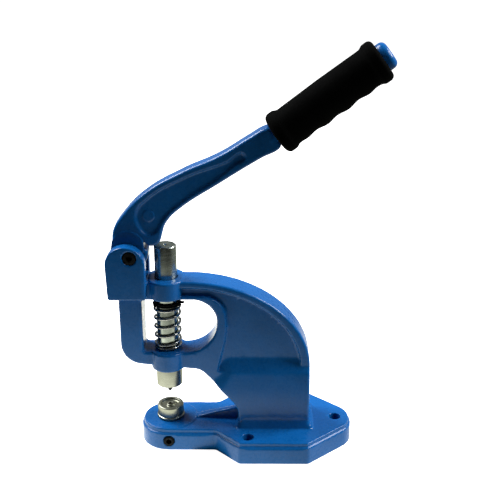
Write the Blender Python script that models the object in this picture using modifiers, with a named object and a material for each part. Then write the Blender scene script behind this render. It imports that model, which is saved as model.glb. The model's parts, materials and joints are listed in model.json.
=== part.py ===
"""Hand lever press for setting eyelets and snap fasteners.

A cast frame with a C-shaped throat carries a round ram, two setting dies and a forked head.
The lever turns on a bolt in the fork, and its nose pushes the ram down against a coil spring.

The origin is on the ram's axis at the underside of the base.  +X runs to the back of the
press, +Z is up, and the press is symmetric about the plane Y = 0.  Lengths are in metres.
"""
import math

import bpy
import bmesh
from mathutils import Matrix, Vector

# ---- driving dimensions -------------------------------------------------------------------
FIT_GAP = 0.0003

BASE_HEIGHT = 0.0207
BASE_LEDGE_HEIGHT = 0.0172
BASE_HALF_WIDTH = 0.050
NOSE_RADIUS = 0.0275
BASE_REAR_X = 0.1715
PLATEAU_INSET = 0.0018
NOSE_PAD_RADIUS = 0.0252
NOSE_PAD_HEIGHT = 0.0214
BOLT_HOLE_RADIUS = 0.00525
BOLT_HOLES = ((0.1563, 0.0), (0.0739, 0.0373), (0.0739, -0.0373))

COLUMN_FRONT_X = 0.0668
COLUMN_BACK_X = 0.131
ARCH_CENTRE = (0.020, 0.080)
ARCH_RADII = (0.111, 0.0845)
PANEL_ARCH_RADII = (0.1015, 0.0775)
RIM_HALF_THICKNESS = 0.014
WEB_HALF_THICKNESS = 0.0098
BLOCK_HALF_THICKNESS = 0.020
BLOCK_SHOULDER_HALF_THICKNESS = 0.0168
BLOCK_CREST_HEIGHT = 0.0885
BLOCK_SHOULDER_HEIGHT = 0.0755
FRONT_LEG_X = -0.0423

BOSS_HALF_WIDTH = 0.0155
BOSS_HALF_LENGTH = 0.0212
LOWER_BOSS_HEIGHTS = (0.0775, 0.0950)
UPPER_BOSS_HEIGHTS = (0.1480, 0.1652)

FORK_X = (-0.0520, -0.0158)
FORK_HALF_WIDTH = 0.022
FORK_BOTTOM = 0.150
FORK_TOP = 0.200
FORK_SLOT_HALF_WIDTH = 0.0108
FORK_SLOT_FLOOR = 0.1652

PIVOT = Vector((-0.0294, 0.0, 0.1898))
PIVOT_RADIUS = 0.004
PIVOT_HEAD_RADIUS = 0.0065
PIVOT_HEAD_FACE_Y = -0.0212
PIVOT_HEAD_HEIGHT = 0.005
COUNTERBORE_DEPTH = 0.0062
WASHER_THICKNESS = 0.0009

LEVER_HALF_THICKNESS = 0.0092
HUB_PAD_HALF_THICKNESS = 0.0094
HUB_PAD_RADIUS = 0.0145
CAM_NOSE_CENTRE = (-0.0118, 0.2066)
CAM_NOSE_RADIUS = 0.0104
HANDLE_START = Vector((0.0982, 0.0, 0.2945))
HANDLE_ANGLE = math.radians(36.7)
HANDLE_ROD_RADIUS = 0.0124
HANDLE_ROD_LENGTH = 0.1163
GRIP_LENGTH = 0.1080
GRIP_RADIUS = 0.0174
GRIP_FLANGE_RADIUS = 0.0195

RAM_RADIUS = 0.010
RAM_TOP = 0.1956
RAM_BOTTOM = 0.0766
SPRING_COIL_RADIUS = 0.0116
SPRING_WIRE_RADIUS = 0.0012
SPRING_BOTTOM = 0.0953
SPRING_TOP = 0.1382
SPRING_TOTAL_TURNS = 6.0
SPRING_CLOSED_TURNS = 1.0

UPPER_DIE_RADIUS = 0.012
UPPER_DIE_HEIGHTS = (0.0563, 0.0763)
PILOT_RADIUS = 0.0019
PILOT_TIP = 0.0483

LOWER_DIE_RADIUS = 0.0122
LOWER_DIE_FLANGE_RADIUS = 0.0129
LOWER_DIE_TOP = 0.0344
DIE_STEM_RADIUS = 0.005
DIE_SOCKET_BOTTOM = 0.005
SET_SCREW_RADIUS = 0.005
SET_SCREW_HEIGHT = 0.0092

# ---- the empty scene ----------------------------------------------------------------------
for leftover in list(bpy.data.objects):
    bpy.data.objects.remove(leftover, do_unlink=True)


def new_collection(name):
    collection = bpy.data.collections.new(name)
    bpy.context.scene.collection.children.link(collection)
    return collection


PRESS = new_collection("hand_press")
CUTTERS = new_collection("cutters")

# Matrices that stand a flat outline, drawn in x and y with its thickness along z, in a plane.
FLAT = Matrix.Identity(4)
SIDE_ON = Matrix.Rotation(math.radians(90.0), 4, "X")
END_ON = Matrix(((0, 0, 1, 0), (1, 0, 0, 0), (0, 1, 0, 0), (0, 0, 0, 1)))


# ---- materials ----------------------------------------------------------------------------
def material(name, colour, roughness, metallic):
    made = bpy.data.materials.new(name)
    made.use_nodes = True
    shader = made.node_tree.nodes["Principled BSDF"]
    shader.inputs["Base Color"].default_value = (*colour, 1.0)
    shader.inputs["Roughness"].default_value = roughness
    shader.inputs["Metallic"].default_value = metallic
    return made


BLUE_ENAMEL = material("blue_enamel", (0.018, 0.115, 0.32), 0.30, 0.0)
GROUND_STEEL = material("ground_steel", (0.50, 0.52, 0.50), 0.22, 1.0)
SPRING_STEEL = material("spring_steel", (0.42, 0.43, 0.43), 0.25, 1.0)
DIE_NICKEL = material("die_nickel", (0.66, 0.63, 0.55), 0.20, 1.0)
BLACK_OXIDE = material("black_oxide", (0.025, 0.025, 0.028), 0.38, 0.9)
ZINC_PLATE = material("zinc_plate", (0.55, 0.56, 0.58), 0.35, 1.0)
BLACK_FOAM = material("black_foam", (0.012, 0.012, 0.012), 0.92, 0.0)


# ---- outlines -----------------------------------------------------------------------------
def rounded_outline(corners, step=math.radians(15.0)):
    """Points of a closed outline whose corners (x, y, radius) are rounded by arcs."""
    points = []
    count = len(corners)
    for index, (x, y, radius) in enumerate(corners):
        corner = Vector((x, y))
        if radius <= 0.0:
            points.append(corner)
            continue
        before = (Vector(corners[index - 1][:2]) - corner).normalized()
        after = (Vector(corners[(index + 1) % count][:2]) - corner).normalized()
        half_angle = math.acos(max(-1.0, min(1.0, before.dot(after)))) / 2.0
        centre = corner + (before + after).normalized() * radius / math.sin(half_angle)
        start = corner + before * radius / math.tan(half_angle) - centre
        sweep = math.pi - 2.0 * half_angle
        if before.x * after.y - before.y * after.x > 0.0:
            sweep = -sweep
        steps = max(2, round(abs(sweep) / step))
        for number in range(steps + 1):
            turn = Matrix.Rotation(sweep * number / steps, 2)
            points.append(centre + turn @ start)
    return points


def inset_corners(corners, distance):
    """The corners of the same anticlockwise outline, moved inwards by a distance."""
    moved = []
    count = len(corners)
    for index, (x, y, radius) in enumerate(corners):
        corner = Vector((x, y))
        into = (corner - Vector(corners[index - 1][:2])).normalized()
        out = (Vector(corners[(index + 1) % count][:2]) - corner).normalized()
        inward = Vector((-into.y - out.y, into.x + out.x)).normalized()
        corner += inward * distance / max(0.2, inward.dot(Vector((-into.y, into.x))))
        convex = into.x * out.y - into.y * out.x > 0.0
        change = -distance if convex else distance
        moved.append((corner.x, corner.y, max(0.0, radius + change) if radius > 0.0 else 0.0))
    return moved


def mirrored(corners):
    """A half outline below y = 0 with its mirror image added, anticlockwise."""
    return list(corners) + [(x, -y, radius) for x, y, radius in reversed(corners)]


def ellipse_arc(centre, radii, start, end, steps):
    """Points on an ellipse between two angles, in degrees."""
    points = []
    for number in range(steps + 1):
        angle = math.radians(start + (end - start) * number / steps)
        point = (centre[0] + radii[0] * math.cos(angle), centre[1] + radii[1] * math.sin(angle), 0.0)
        points.append(point)
    return points


# ---- solids -------------------------------------------------------------------------------
def place(obj, name, collection, look):
    obj.name = name
    obj.data.name = name
    for owner in list(obj.users_collection):
        owner.objects.unlink(obj)
    collection.objects.link(obj)
    if look is not None:
        obj.data.materials.clear()
        obj.data.materials.append(look)
    return obj


def mesh_from(obj, name, collection, look):
    """The object's evaluated shape as a closed mesh object, in place of the object."""
    bpy.context.view_layer.update()
    depsgraph = bpy.context.evaluated_depsgraph_get()
    mesh = bpy.data.meshes.new_from_object(obj.evaluated_get(depsgraph))
    shape = bmesh.new()
    shape.from_mesh(mesh)
    bmesh.ops.remove_doubles(shape, verts=shape.verts, dist=0.00001)
    bmesh.ops.recalc_face_normals(shape, faces=shape.faces)
    shape.to_mesh(mesh)
    shape.free()
    made = bpy.data.objects.new(name, mesh)
    made.matrix_world = obj.matrix_world.copy()
    bpy.data.objects.remove(obj, do_unlink=True)
    collection.objects.link(made)
    return place(made, name, collection, look)


def prism(name, points, low, high, plane=FLAT, collection=CUTTERS, look=None):
    """A flat outline extruded from low to high along the plane's own z direction."""
    curve = bpy.data.curves.new(name, "CURVE")
    curve.dimensions = "2D"
    curve.fill_mode = "BOTH"
    curve.extrude = (high - low) / 2.0
    spline = curve.splines.new("POLY")
    spline.points.add(len(points) - 1)
    for slot, point in zip(spline.points, points):
        slot.co = (point[0], point[1], 0.0, 1.0)
    spline.use_cyclic_u = True
    obj = bpy.data.objects.new(name, curve)
    obj.matrix_world = plane @ Matrix.Translation((0.0, 0.0, (low + high) / 2.0))
    bpy.context.scene.collection.objects.link(obj)
    return mesh_from(obj, name, collection, look)


def smooth_prism(name, points, low, high, plane, resolution, collection=CUTTERS, look=None):
    """As prism, with the outline a smooth closed curve through its points."""
    curve = bpy.data.curves.new(name, "CURVE")
    curve.dimensions = "2D"
    curve.fill_mode = "BOTH"
    curve.extrude = (high - low) / 2.0
    curve.resolution_u = resolution
    spline = curve.splines.new("BEZIER")
    spline.bezier_points.add(len(points) - 1)
    for slot, point in zip(spline.bezier_points, points):
        slot.co = (point[0], point[1], 0.0)
        slot.handle_left_type = "AUTO"
        slot.handle_right_type = "AUTO"
    spline.use_cyclic_u = True
    obj = bpy.data.objects.new(name, curve)
    obj.matrix_world = plane @ Matrix.Translation((0.0, 0.0, (low + high) / 2.0))
    bpy.context.scene.collection.objects.link(obj)
    return mesh_from(obj, name, collection, look)


def turned(name, profile, axis_matrix, look=None, collection=PRESS, steps=32):
    """A solid of revolution from a profile of (radius, height), listed from top to bottom."""
    mesh = bpy.data.meshes.new(name)
    vertices = [(radius, 0.0, height) for radius, height in profile]
    edges = [(number, number + 1) for number in range(len(profile) - 1)]
    mesh.from_pydata(vertices, edges, [])
    obj = bpy.data.objects.new(name, mesh)
    obj.matrix_world = axis_matrix
    bpy.context.scene.collection.objects.link(obj)
    screw = obj.modifiers.new("turn", "SCREW")
    screw.axis = "Z"
    screw.angle = math.tau
    screw.steps = steps
    screw.render_steps = steps
    screw.use_merge_vertices = True
    screw.merge_threshold = 0.00001
    screw.use_smooth_shade = True
    return place(obj, name, collection, look)


def cylinder(name, radius, low, high, axis_matrix=FLAT, sides=32, collection=CUTTERS, look=None):
    bpy.ops.mesh.primitive_cylinder_add(vertices=sides, radius=radius, depth=high - low)
    obj = bpy.context.object
    obj.matrix_world = axis_matrix @ Matrix.Translation((0.0, 0.0, (low + high) / 2.0))
    return place(obj, name, collection, look)


def bevelled(obj, width, segments=2, angle=40.0):
    bevel = obj.modifiers.new("rounded edges", "BEVEL")
    bevel.width = width
    bevel.segments = segments
    bevel.limit_method = "ANGLE"
    bevel.angle_limit = math.radians(angle)
    bevel.harden_normals = False
    return obj


def combine(target, tool, operation):
    """Join a tool to the target, cut it away, or keep only what both hold."""
    boolean = target.modifiers.new(tool.name, "BOOLEAN")
    boolean.operation = operation
    boolean.solver = "EXACT"
    boolean.object = tool
    tool.hide_render = True
    tool.display_type = "WIRE"
    return target


def shade_smooth(obj, angle=35.0):
    obj.data.shade_smooth()
    obj.data.set_sharp_from_angle(angle=math.radians(angle))
    return obj


# ---- frame casting ------------------------------------------------------------------------
def base_corners():
    half = [
        (-NOSE_RADIUS, -NOSE_RADIUS, NOSE_RADIUS - 0.0001),
        (0.0438, -NOSE_RADIUS, 0.006),
        (0.0660, -BASE_HALF_WIDTH, 0.004),
        (0.1293, -BASE_HALF_WIDTH, 0.005),
        (BASE_REAR_X, -0.0126, 0.025),
    ]
    return mirrored(half)


def side_corners():
    """The side view of the C-frame, without its window, anticlockwise in x and z."""
    return [
        (FRONT_LEG_X, 0.0842, 0.020),
        (0.0300, 0.0770, 0.013),
        (0.0640, 0.0418, 0.020),
        (COLUMN_FRONT_X, 0.010, 0.0),
        (COLUMN_BACK_X, 0.010, 0.0),
        *ellipse_arc(ARCH_CENTRE, ARCH_RADII, 0.0, 90.0, 18),
        (FRONT_LEG_X, ARCH_CENTRE[1] + ARCH_RADII[1], 0.001),
    ]


def make_base():
    corners = base_corners()
    base = prism("base_plate", rounded_outline(corners), 0.0, BASE_LEDGE_HEIGHT)
    bevel_top_edges(base, 0.0014)
    inset = rounded_outline(inset_corners(corners, PLATEAU_INSET))
    plateau = prism("base_plateau", inset, 0.010, BASE_HEIGHT)
    bevel_top_edges(plateau, 0.0005)
    combine(base, plateau, "UNION")
    pad = cylinder("nose_pad", NOSE_PAD_RADIUS, 0.015, NOSE_PAD_HEIGHT, sides=48)
    bevel_top_edges(pad, 0.0006)
    combine(base, pad, "UNION")
    return base


def bevel_top_edges(obj, width):
    """Round only the edges around an upright prism's top face."""
    shape = bmesh.new()
    shape.from_mesh(obj.data)
    top = max(vertex.co.z for vertex in shape.verts)
    edges = [edge for edge in shape.edges if all(abs(v.co.z - top) < 1e-6 for v in edge.verts)]
    rim = [edge for edge in edges if len(edge.link_faces) == 2
           and abs(edge.link_faces[0].normal.dot(edge.link_faces[1].normal)) < 0.5]
    bmesh.ops.bevel(shape, geom=rim, offset=width, segments=2, profile=0.5, affect="EDGES")
    shape.to_mesh(obj.data)
    shape.free()
    return obj


def make_c_plate():
    plate = prism("c_plate", rounded_outline(side_corners()), -RIM_HALF_THICKNESS,
                  RIM_HALF_THICKNESS, SIDE_ON)
    window = [
        (-0.0215, 0.0950, 0.003),
        (0.0460, 0.0942, 0.0300),
        (0.0457, 0.1468, 0.0218),
        (-0.0215, 0.1468, 0.003),
    ]
    opening = prism("window", rounded_outline(window), -0.030, 0.030, SIDE_ON)
    combine(plate, opening, "DIFFERENCE")
    bevelled(plate, 0.0022, 2, 50.0)
    arch = ellipse_arc(ARCH_CENTRE, PANEL_ARCH_RADII, 5.0, 91.0, 12)
    panel = [
        (0.0165, 0.1514, 0.001),
        (0.0420, 0.1512, 0.004),
        (0.0540, 0.1400, 0.012),
        (0.0555, 0.1200, 0.010),
        (0.0535, 0.1050, 0.008),
        (0.0470, 0.0770, 0.001),
        (ARCH_CENTRE[0] + PANEL_ARCH_RADII[0] - 0.0006, 0.0770, 0.001),
        *arch,
    ]
    for side, low in (("near", WEB_HALF_THICKNESS), ("far", -0.018)):
        recess = prism("panel_" + side, rounded_outline(panel), low, low + 0.0082, SIDE_ON)
        bevelled(recess, 0.0016, 2, 50.0)
        combine(plate, recess, "DIFFERENCE")
    return plate


def make_column_block():
    """The thicker foot of the column, sloping back to the web at its top and its front."""
    block = prism("column_block", rounded_outline(side_corners()), -BLOCK_HALF_THICKNESS,
                  BLOCK_HALF_THICKNESS, SIDE_ON)
    crest = WEB_HALF_THICKNESS - 0.001
    half = [
        (-crest, BLOCK_CREST_HEIGHT),
        (-BLOCK_SHOULDER_HALF_THICKNESS, BLOCK_SHOULDER_HEIGHT),
        (-BLOCK_HALF_THICKNESS, 0.053),
        (-BLOCK_HALF_THICKNESS - 0.002, 0.0),
    ]
    profile = half + [(-y, z) for y, z in reversed(half)]
    cross_section = prism("block_cross_section", profile, -0.080, 0.160, END_ON)
    combine(block, cross_section, "INTERSECT")
    slope = [
        (-crest, 0.013),
        (-BLOCK_SHOULDER_HALF_THICKNESS, 0.0),
        (-BLOCK_HALF_THICKNESS - 0.002, -0.012),
        (-BLOCK_HALF_THICKNESS - 0.002, -0.200),
    ]
    slope_profile = slope + [(-y, z) for y, z in reversed(slope)]
    lean = Matrix.Translation((0.0520, 0.0, 0.0690)) @ Matrix.Rotation(math.radians(-43.0), 4, "Y")
    front_slope = prism("block_front_slope", slope_profile, -0.200, 0.200, lean @ END_ON)
    combine(block, front_slope, "INTERSECT")
    return block


def make_column_foot():
    """The flare where the column meets the base, as two stacked frustums."""
    foot = None
    levels = ((0.0195, 0.0240, 0.0050, 0.0022), (0.0230, 0.0330, 0.0030, 0.0))
    for number, (low, high, spread_low, spread_high) in enumerate(levels):
        shape = bmesh.new()
        bmesh.ops.create_cube(shape, size=1.0)
        for vertex in shape.verts:
            upper = vertex.co.z > 0.0
            spread = spread_high if upper else spread_low
            front = COLUMN_FRONT_X - 0.0005 - spread
            back = COLUMN_BACK_X - 0.0003 + 0.6 * spread
            side = BLOCK_HALF_THICKNESS + 0.0006 + 1.1 * spread
            vertex.co.x = back if vertex.co.x > 0.0 else front
            vertex.co.y = side if vertex.co.y > 0.0 else -side
            vertex.co.z = high if upper else low
        mesh = bpy.data.meshes.new("column_foot")
        shape.to_mesh(mesh)
        shape.free()
        step = bpy.data.objects.new("column_foot_%d" % (number + 1), mesh)
        CUTTERS.objects.link(step)
        if foot is None:
            foot = step
        else:
            combine(foot, step, "UNION")
    return foot


def make_boss(name, heights):
    width = BOSS_HALF_WIDTH
    corners = [
        (-width, -BOSS_HALF_LENGTH, width - 0.0001),
        (width, -BOSS_HALF_LENGTH, width - 0.0001),
        (width, BOSS_HALF_LENGTH, width - 0.0001),
        (-width, BOSS_HALF_LENGTH, width - 0.0001),
    ]
    boss = prism(name, rounded_outline(corners), heights[0], heights[1])
    return bevelled(boss, 0.0012, 2, 50.0)


def make_fork():
    arc = (FORK_X[1] - FORK_X[0]) / 2.0 - 0.0007
    corners = [
        (FORK_X[0] + 0.0016, FORK_BOTTOM, 0.0025),
        (FORK_X[1] - 0.0006, FORK_BOTTOM, 0.0015),
        (FORK_X[1], FORK_TOP, arc),
        (FORK_X[0], FORK_TOP, arc),
    ]
    fork = prism("fork", rounded_outline(corners), -FORK_HALF_WIDTH, FORK_HALF_WIDTH, SIDE_ON)
    bevelled(fork, 0.0012, 2, 50.0)
    bpy.ops.mesh.primitive_cube_add(size=1.0)
    slot = bpy.context.object
    slot.scale = (0.060, 2.0 * FORK_SLOT_HALF_WIDTH, 0.050)
    slot.location = ((FORK_X[0] + FORK_X[1]) / 2.0, 0.0, FORK_SLOT_FLOOR + 0.025)
    place(slot, "fork_slot", CUTTERS, None)
    combine(fork, slot, "DIFFERENCE")
    return fork


def make_rib():
    rise = [
        (0.0240, 0.0180),
        (0.0700, 0.0180),
        (0.0700, 0.0318),
        (0.0600, 0.0306),
        (0.0445, 0.0272),
        (0.0240, 0.0218),
    ]
    rib = prism("rib", rise, -0.0030, 0.0030, SIDE_ON)
    return bevelled(rib, 0.0011, 2, 50.0)


def make_frame_casting():
    frame = place(make_base(), "frame_casting", PRESS, BLUE_ENAMEL)
    for shape in (make_column_block(), make_column_foot(), make_c_plate(), make_fork(),
                  make_boss("lower_boss", LOWER_BOSS_HEIGHTS),
                  make_boss("upper_boss", UPPER_BOSS_HEIGHTS), make_rib()):
        combine(frame, shape, "UNION")
    cuts = [cylinder("ram_bore", RAM_RADIUS + FIT_GAP, 0.060, 0.180)]
    for number, (x, y) in enumerate(BOLT_HOLES):
        hole = cylinder("bolt_hole_%d" % (number + 1), BOLT_HOLE_RADIUS, -0.010, 0.040,
                        Matrix.Translation((x, y, 0.0)), sides=24)
        cuts.append(hole)
    cuts.append(cylinder("die_socket", DIE_STEM_RADIUS + FIT_GAP, DIE_SOCKET_BOTTOM, 0.040, sides=24))
    screw_axis = Matrix.Translation((0.0, 0.0, SET_SCREW_HEIGHT)) @ SIDE_ON
    cuts.append(cylinder("set_screw_hole", SET_SCREW_RADIUS + FIT_GAP, 0.002, 0.040, screw_axis, sides=24))
    pivot_axis = Matrix.Translation(PIVOT) @ SIDE_ON
    cuts.append(cylinder("pivot_bore", PIVOT_RADIUS + FIT_GAP, -0.040, 0.040, pivot_axis, sides=24))
    cuts.append(cylinder("pivot_counterbore", PIVOT_HEAD_RADIUS + 0.0005,
                         FORK_HALF_WIDTH - COUNTERBORE_DEPTH, 0.040, pivot_axis, sides=32))
    for cut in cuts:
        combine(frame, cut, "DIFFERENCE")
    return frame


# ---- lever --------------------------------------------------------------------------------
def along_handle(distance, offset):
    """The side-view point at a distance along the handle and an offset above its axis."""
    cosine = math.cos(HANDLE_ANGLE)
    sine = math.sin(HANDLE_ANGLE)
    return (HANDLE_START.x + distance * cosine - offset * sine,
            HANDLE_START.z + distance * sine + offset * cosine)


def lever_outline():
    """The side view of the hub, the cam nose and the curved arm, up to the grip."""
    top_of_arm = [
        (-0.0456, 0.2010),
        (-0.0438, 0.2125),
        (-0.0365, 0.2241),
        (-0.0152, 0.2454),
        (0.0172, 0.2641),
        (0.0490, 0.2783),
        (0.0752, 0.2943),
    ]
    end_of_arm = [along_handle(-0.0035, 0.0119), along_handle(-0.0009, 0.0105),
                  along_handle(-0.0004, 0.0), along_handle(-0.0009, -0.0076),
                  along_handle(-0.0032, -0.0094)]
    underside = [
        (0.0856, 0.2762),
        (0.0492, 0.2535),
        (0.0130, 0.2293),
        (0.0043, 0.2204),
        (-0.0002, 0.2116),
    ]
    nose = []
    for angle in (0.0, -45.0, -90.0, -135.0):
        nose.append((CAM_NOSE_CENTRE[0] + CAM_NOSE_RADIUS * math.cos(math.radians(angle)),
                     CAM_NOSE_CENTRE[1] + CAM_NOSE_RADIUS * math.sin(math.radians(angle))))
    heel = []
    for angle in (5.0, -35.0, -90.0, -145.0, 175.0):
        heel.append((PIVOT.x + 0.0150 * math.cos(math.radians(angle)),
                     PIVOT.z + 0.0150 * math.sin(math.radians(angle))))
    return list(reversed(top_of_arm + end_of_arm + underside + nose + heel))


def lever_panel():
    """The sunk teardrop on each side of the arm."""
    return [
        (0.0705, 0.2788),
        (0.0560, 0.2722),
        (0.0182, 0.2575),
        (-0.0138, 0.2385),
        (-0.0225, 0.2270),
        (-0.0205, 0.2150),
        (-0.0130, 0.2078),
        (-0.0072, 0.2105),
        (-0.0002, 0.2225),
        (0.0185, 0.2395),
        (0.0450, 0.2572),
        (0.0615, 0.2705),
    ]


def handle_matrix():
    """The handle's own frame, with +Z along the handle and its origin at the grip's start."""
    return Matrix.Translation(HANDLE_START) @ Matrix.Rotation(math.pi / 2.0 - HANDLE_ANGLE, 4, "Y")


def make_lever_casting():
    lever = smooth_prism("lever_casting", lever_outline(), -LEVER_HALF_THICKNESS,
                         LEVER_HALF_THICKNESS, SIDE_ON, 5, PRESS, BLUE_ENAMEL)
    bevelled(lever, 0.0024, 2, 50.0)
    for side, low in (("near", 0.0068), ("far", -0.0118)):
        recess = smooth_prism("lever_panel_" + side, lever_panel(), low, low + 0.005, SIDE_ON, 4)
        combine(lever, recess, "DIFFERENCE")
        pad_axis = Matrix.Translation((-0.0126, 0.0, 0.2245)) @ SIDE_ON
        pad_low = 0.0060 if side == "near" else -0.0074
        pad = cylinder("mark_pad_" + side, 0.0052, pad_low, pad_low + 0.0014, pad_axis, sides=24)
        combine(lever, pad, "UNION")
    hub_axis = Matrix.Translation((-0.0320, 0.0, 0.1965)) @ SIDE_ON
    hub = cylinder("hub_pad", HUB_PAD_RADIUS, -HUB_PAD_HALF_THICKNESS, HUB_PAD_HALF_THICKNESS,
                   hub_axis, sides=40)
    combine(lever, hub, "UNION")
    corner = 0.005
    profile = [(0.0, HANDLE_ROD_LENGTH)]
    for angle in (90.0, 60.0, 30.0, 0.0):
        profile.append((HANDLE_ROD_RADIUS - corner + corner * math.cos(math.radians(angle)),
                        HANDLE_ROD_LENGTH - corner + corner * math.sin(math.radians(angle))))
    profile += [(HANDLE_ROD_RADIUS, 0.0030), (0.0090, -0.0006), (0.0090, -0.0060), (0.0, -0.0060)]
    rod = turned("handle_rod", profile, handle_matrix(), None, CUTTERS, 28)
    combine(lever, rod, "UNION")
    bore_axis = Matrix.Translation(PIVOT) @ SIDE_ON
    bore = cylinder("lever_bore", PIVOT_RADIUS + FIT_GAP, -0.030, 0.030, bore_axis, sides=24)
    combine(lever, bore, "DIFFERENCE")
    return lever


def make_handle_grip():
    """A foam sleeve with a rolled flange at each end."""
    bead = 0.0048
    bore = HANDLE_ROD_RADIUS + FIT_GAP
    profile = [(bore, GRIP_LENGTH)]
    for angle in (90.0, 55.0, 20.0, -15.0, -50.0):
        profile.append((GRIP_FLANGE_RADIUS - bead + bead * math.cos(math.radians(angle)),
                        GRIP_LENGTH - bead + bead * math.sin(math.radians(angle))))
    profile += [(GRIP_RADIUS, GRIP_LENGTH - 0.0120), (GRIP_RADIUS + 0.0004, 0.0560),
                (GRIP_RADIUS, 0.0130)]
    for angle in (50.0, 15.0, -20.0, -55.0, -90.0):
        profile.append((GRIP_FLANGE_RADIUS - bead + bead * math.cos(math.radians(angle)),
                        bead + bead * math.sin(math.radians(angle))))
    profile += [(bore + 0.0012, 0.0), (bore + 0.0012, 0.0040), (bore, 0.0060), (bore, GRIP_LENGTH)]
    return turned("handle_grip", profile, handle_matrix(), BLACK_FOAM, PRESS, 32)


# ---- pivot hardware -----------------------------------------------------------------------
def ring(name, inner, outer, low, high, axis_matrix, look, steps=32):
    profile = [(inner, high), (outer, high), (outer, low), (inner, low), (inner, high)]
    return turned(name, profile, axis_matrix, look, PRESS, steps)


def make_pivot_bolt():
    """A low-head socket screw that lies along Y, its head sunk in the near cheek."""
    axis = Matrix.Translation(PIVOT) @ SIDE_ON
    face = -PIVOT_HEAD_FACE_Y
    under = face - PIVOT_HEAD_HEIGHT
    profile = [
        (0.0, face),
        (PIVOT_HEAD_RADIUS - 0.0006, face),
        (PIVOT_HEAD_RADIUS, face - 0.0006),
        (PIVOT_HEAD_RADIUS, under),
        (PIVOT_RADIUS, under),
        (PIVOT_RADIUS, -0.0335),
        (PIVOT_RADIUS - 0.0006, -0.0342),
        (0.0, -0.0342),
    ]
    bolt = turned("pivot_bolt", profile, axis, BLACK_OXIDE, PRESS, 32)
    socket = cylinder("pivot_socket", 0.0029, face - 0.0030, face + 0.004, axis, sides=6)
    combine(bolt, socket, "DIFFERENCE")
    return bolt


def make_pivot_nut():
    nut_outer = -FORK_HALF_WIDTH - 0.0102
    nut_inner = nut_outer + 0.0062
    axis = Matrix.Translation(PIVOT) @ SIDE_ON
    nut = cylinder("pivot_nut", 0.0075, nut_outer, nut_inner, axis, sides=6,
                   collection=PRESS, look=BLACK_OXIDE)
    thread = cylinder("nut_thread", PIVOT_RADIUS + FIT_GAP, -0.040, -0.010, axis, sides=24)
    combine(nut, thread, "DIFFERENCE")
    return nut


def make_lock_washer():
    """A split spring washer: a ring with one narrow gap."""
    axis = Matrix.Translation(PIVOT) @ SIDE_ON
    outer_face = -FORK_HALF_WIDTH - 0.0037
    washer = ring("pivot_lock_washer", PIVOT_RADIUS + FIT_GAP, 0.0066, outer_face,
                  outer_face + 0.0018, axis, BLACK_OXIDE, 28)
    bpy.ops.mesh.primitive_cube_add(size=1.0)
    gap = bpy.context.object
    gap.scale = (0.006, 0.006, 0.0009)
    gap.location = PIVOT + Vector((0.0055, FORK_HALF_WIDTH + 0.0028, 0.0))
    gap.rotation_euler = (math.radians(18.0), 0.0, 0.0)
    place(gap, "lock_washer_gap", CUTTERS, None)
    return combine(washer, gap, "DIFFERENCE")


def make_pivot_washers():
    axis = Matrix.Translation(PIVOT) @ SIDE_ON
    ring("pivot_flat_washer", PIVOT_RADIUS + FIT_GAP, 0.0080, -FORK_HALF_WIDTH - 0.0016,
         -FORK_HALF_WIDTH - FIT_GAP, axis, ZINC_PLATE)
    inner = HUB_PAD_HALF_THICKNESS + 0.00025
    outer = inner + WASHER_THICKNESS
    ring("thrust_washer_near", PIVOT_RADIUS + FIT_GAP, 0.0080, inner, outer, axis, ZINC_PLATE)
    ring("thrust_washer_far", PIVOT_RADIUS + FIT_GAP, 0.0080, -outer, -inner, axis, ZINC_PLATE)


# ---- ram, spring and dies -----------------------------------------------------------------
def make_ram():
    groove_low = SPRING_TOP + 0.0012 + FIT_GAP
    groove_high = groove_low + 0.0013
    profile = [
        (0.0, RAM_TOP - 0.0014),
        (0.0014, RAM_TOP),
        (RAM_RADIUS - 0.0010, RAM_TOP),
        (RAM_RADIUS, RAM_TOP - 0.0010),
        (RAM_RADIUS, groove_high),
        (RAM_RADIUS - 0.0009, groove_high),
        (RAM_RADIUS - 0.0009, groove_low),
        (RAM_RADIUS, groove_low),
        (RAM_RADIUS, RAM_BOTTOM),
        (0.0043, RAM_BOTTOM),
        (0.0043, RAM_BOTTOM + 0.0160),
        (0.0, RAM_BOTTOM + 0.0175),
    ]
    return turned("ram", profile, Matrix.Identity(4), GROUND_STEEL, PRESS, 40)


def make_spring():
    """A compression spring with one closed turn at each end, as a right-handed helix."""
    points_per_turn = 14
    count = round(SPRING_TOTAL_TURNS * points_per_turn)
    low = SPRING_BOTTOM + SPRING_WIRE_RADIUS
    high = SPRING_TOP - SPRING_WIRE_RADIUS
    closed_rise = 2.0 * SPRING_WIRE_RADIUS + 0.0003
    open_turns = SPRING_TOTAL_TURNS - 2.0 * SPRING_CLOSED_TURNS
    open_rise = high - low - 2.0 * closed_rise * SPRING_CLOSED_TURNS
    curve = bpy.data.curves.new("return_spring", "CURVE")
    curve.dimensions = "3D"
    curve.bevel_depth = SPRING_WIRE_RADIUS
    curve.bevel_resolution = 2
    curve.use_fill_caps = True
    spline = curve.splines.new("POLY")
    spline.points.add(count)
    for number, slot in enumerate(spline.points):
        turns = number / points_per_turn
        closed_low = min(turns, SPRING_CLOSED_TURNS)
        opened = min(max(turns - SPRING_CLOSED_TURNS, 0.0), open_turns)
        closed_high = max(turns - SPRING_CLOSED_TURNS - open_turns, 0.0)
        height = low + (closed_low + closed_high) * closed_rise + open_rise * opened / open_turns
        angle = math.tau * turns + math.radians(200.0)
        slot.co = (SPRING_COIL_RADIUS * math.cos(angle), SPRING_COIL_RADIUS * math.sin(angle),
                   height, 1.0)
    spring = bpy.data.objects.new("return_spring", curve)
    return place(spring, "return_spring", PRESS, SPRING_STEEL)


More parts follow.
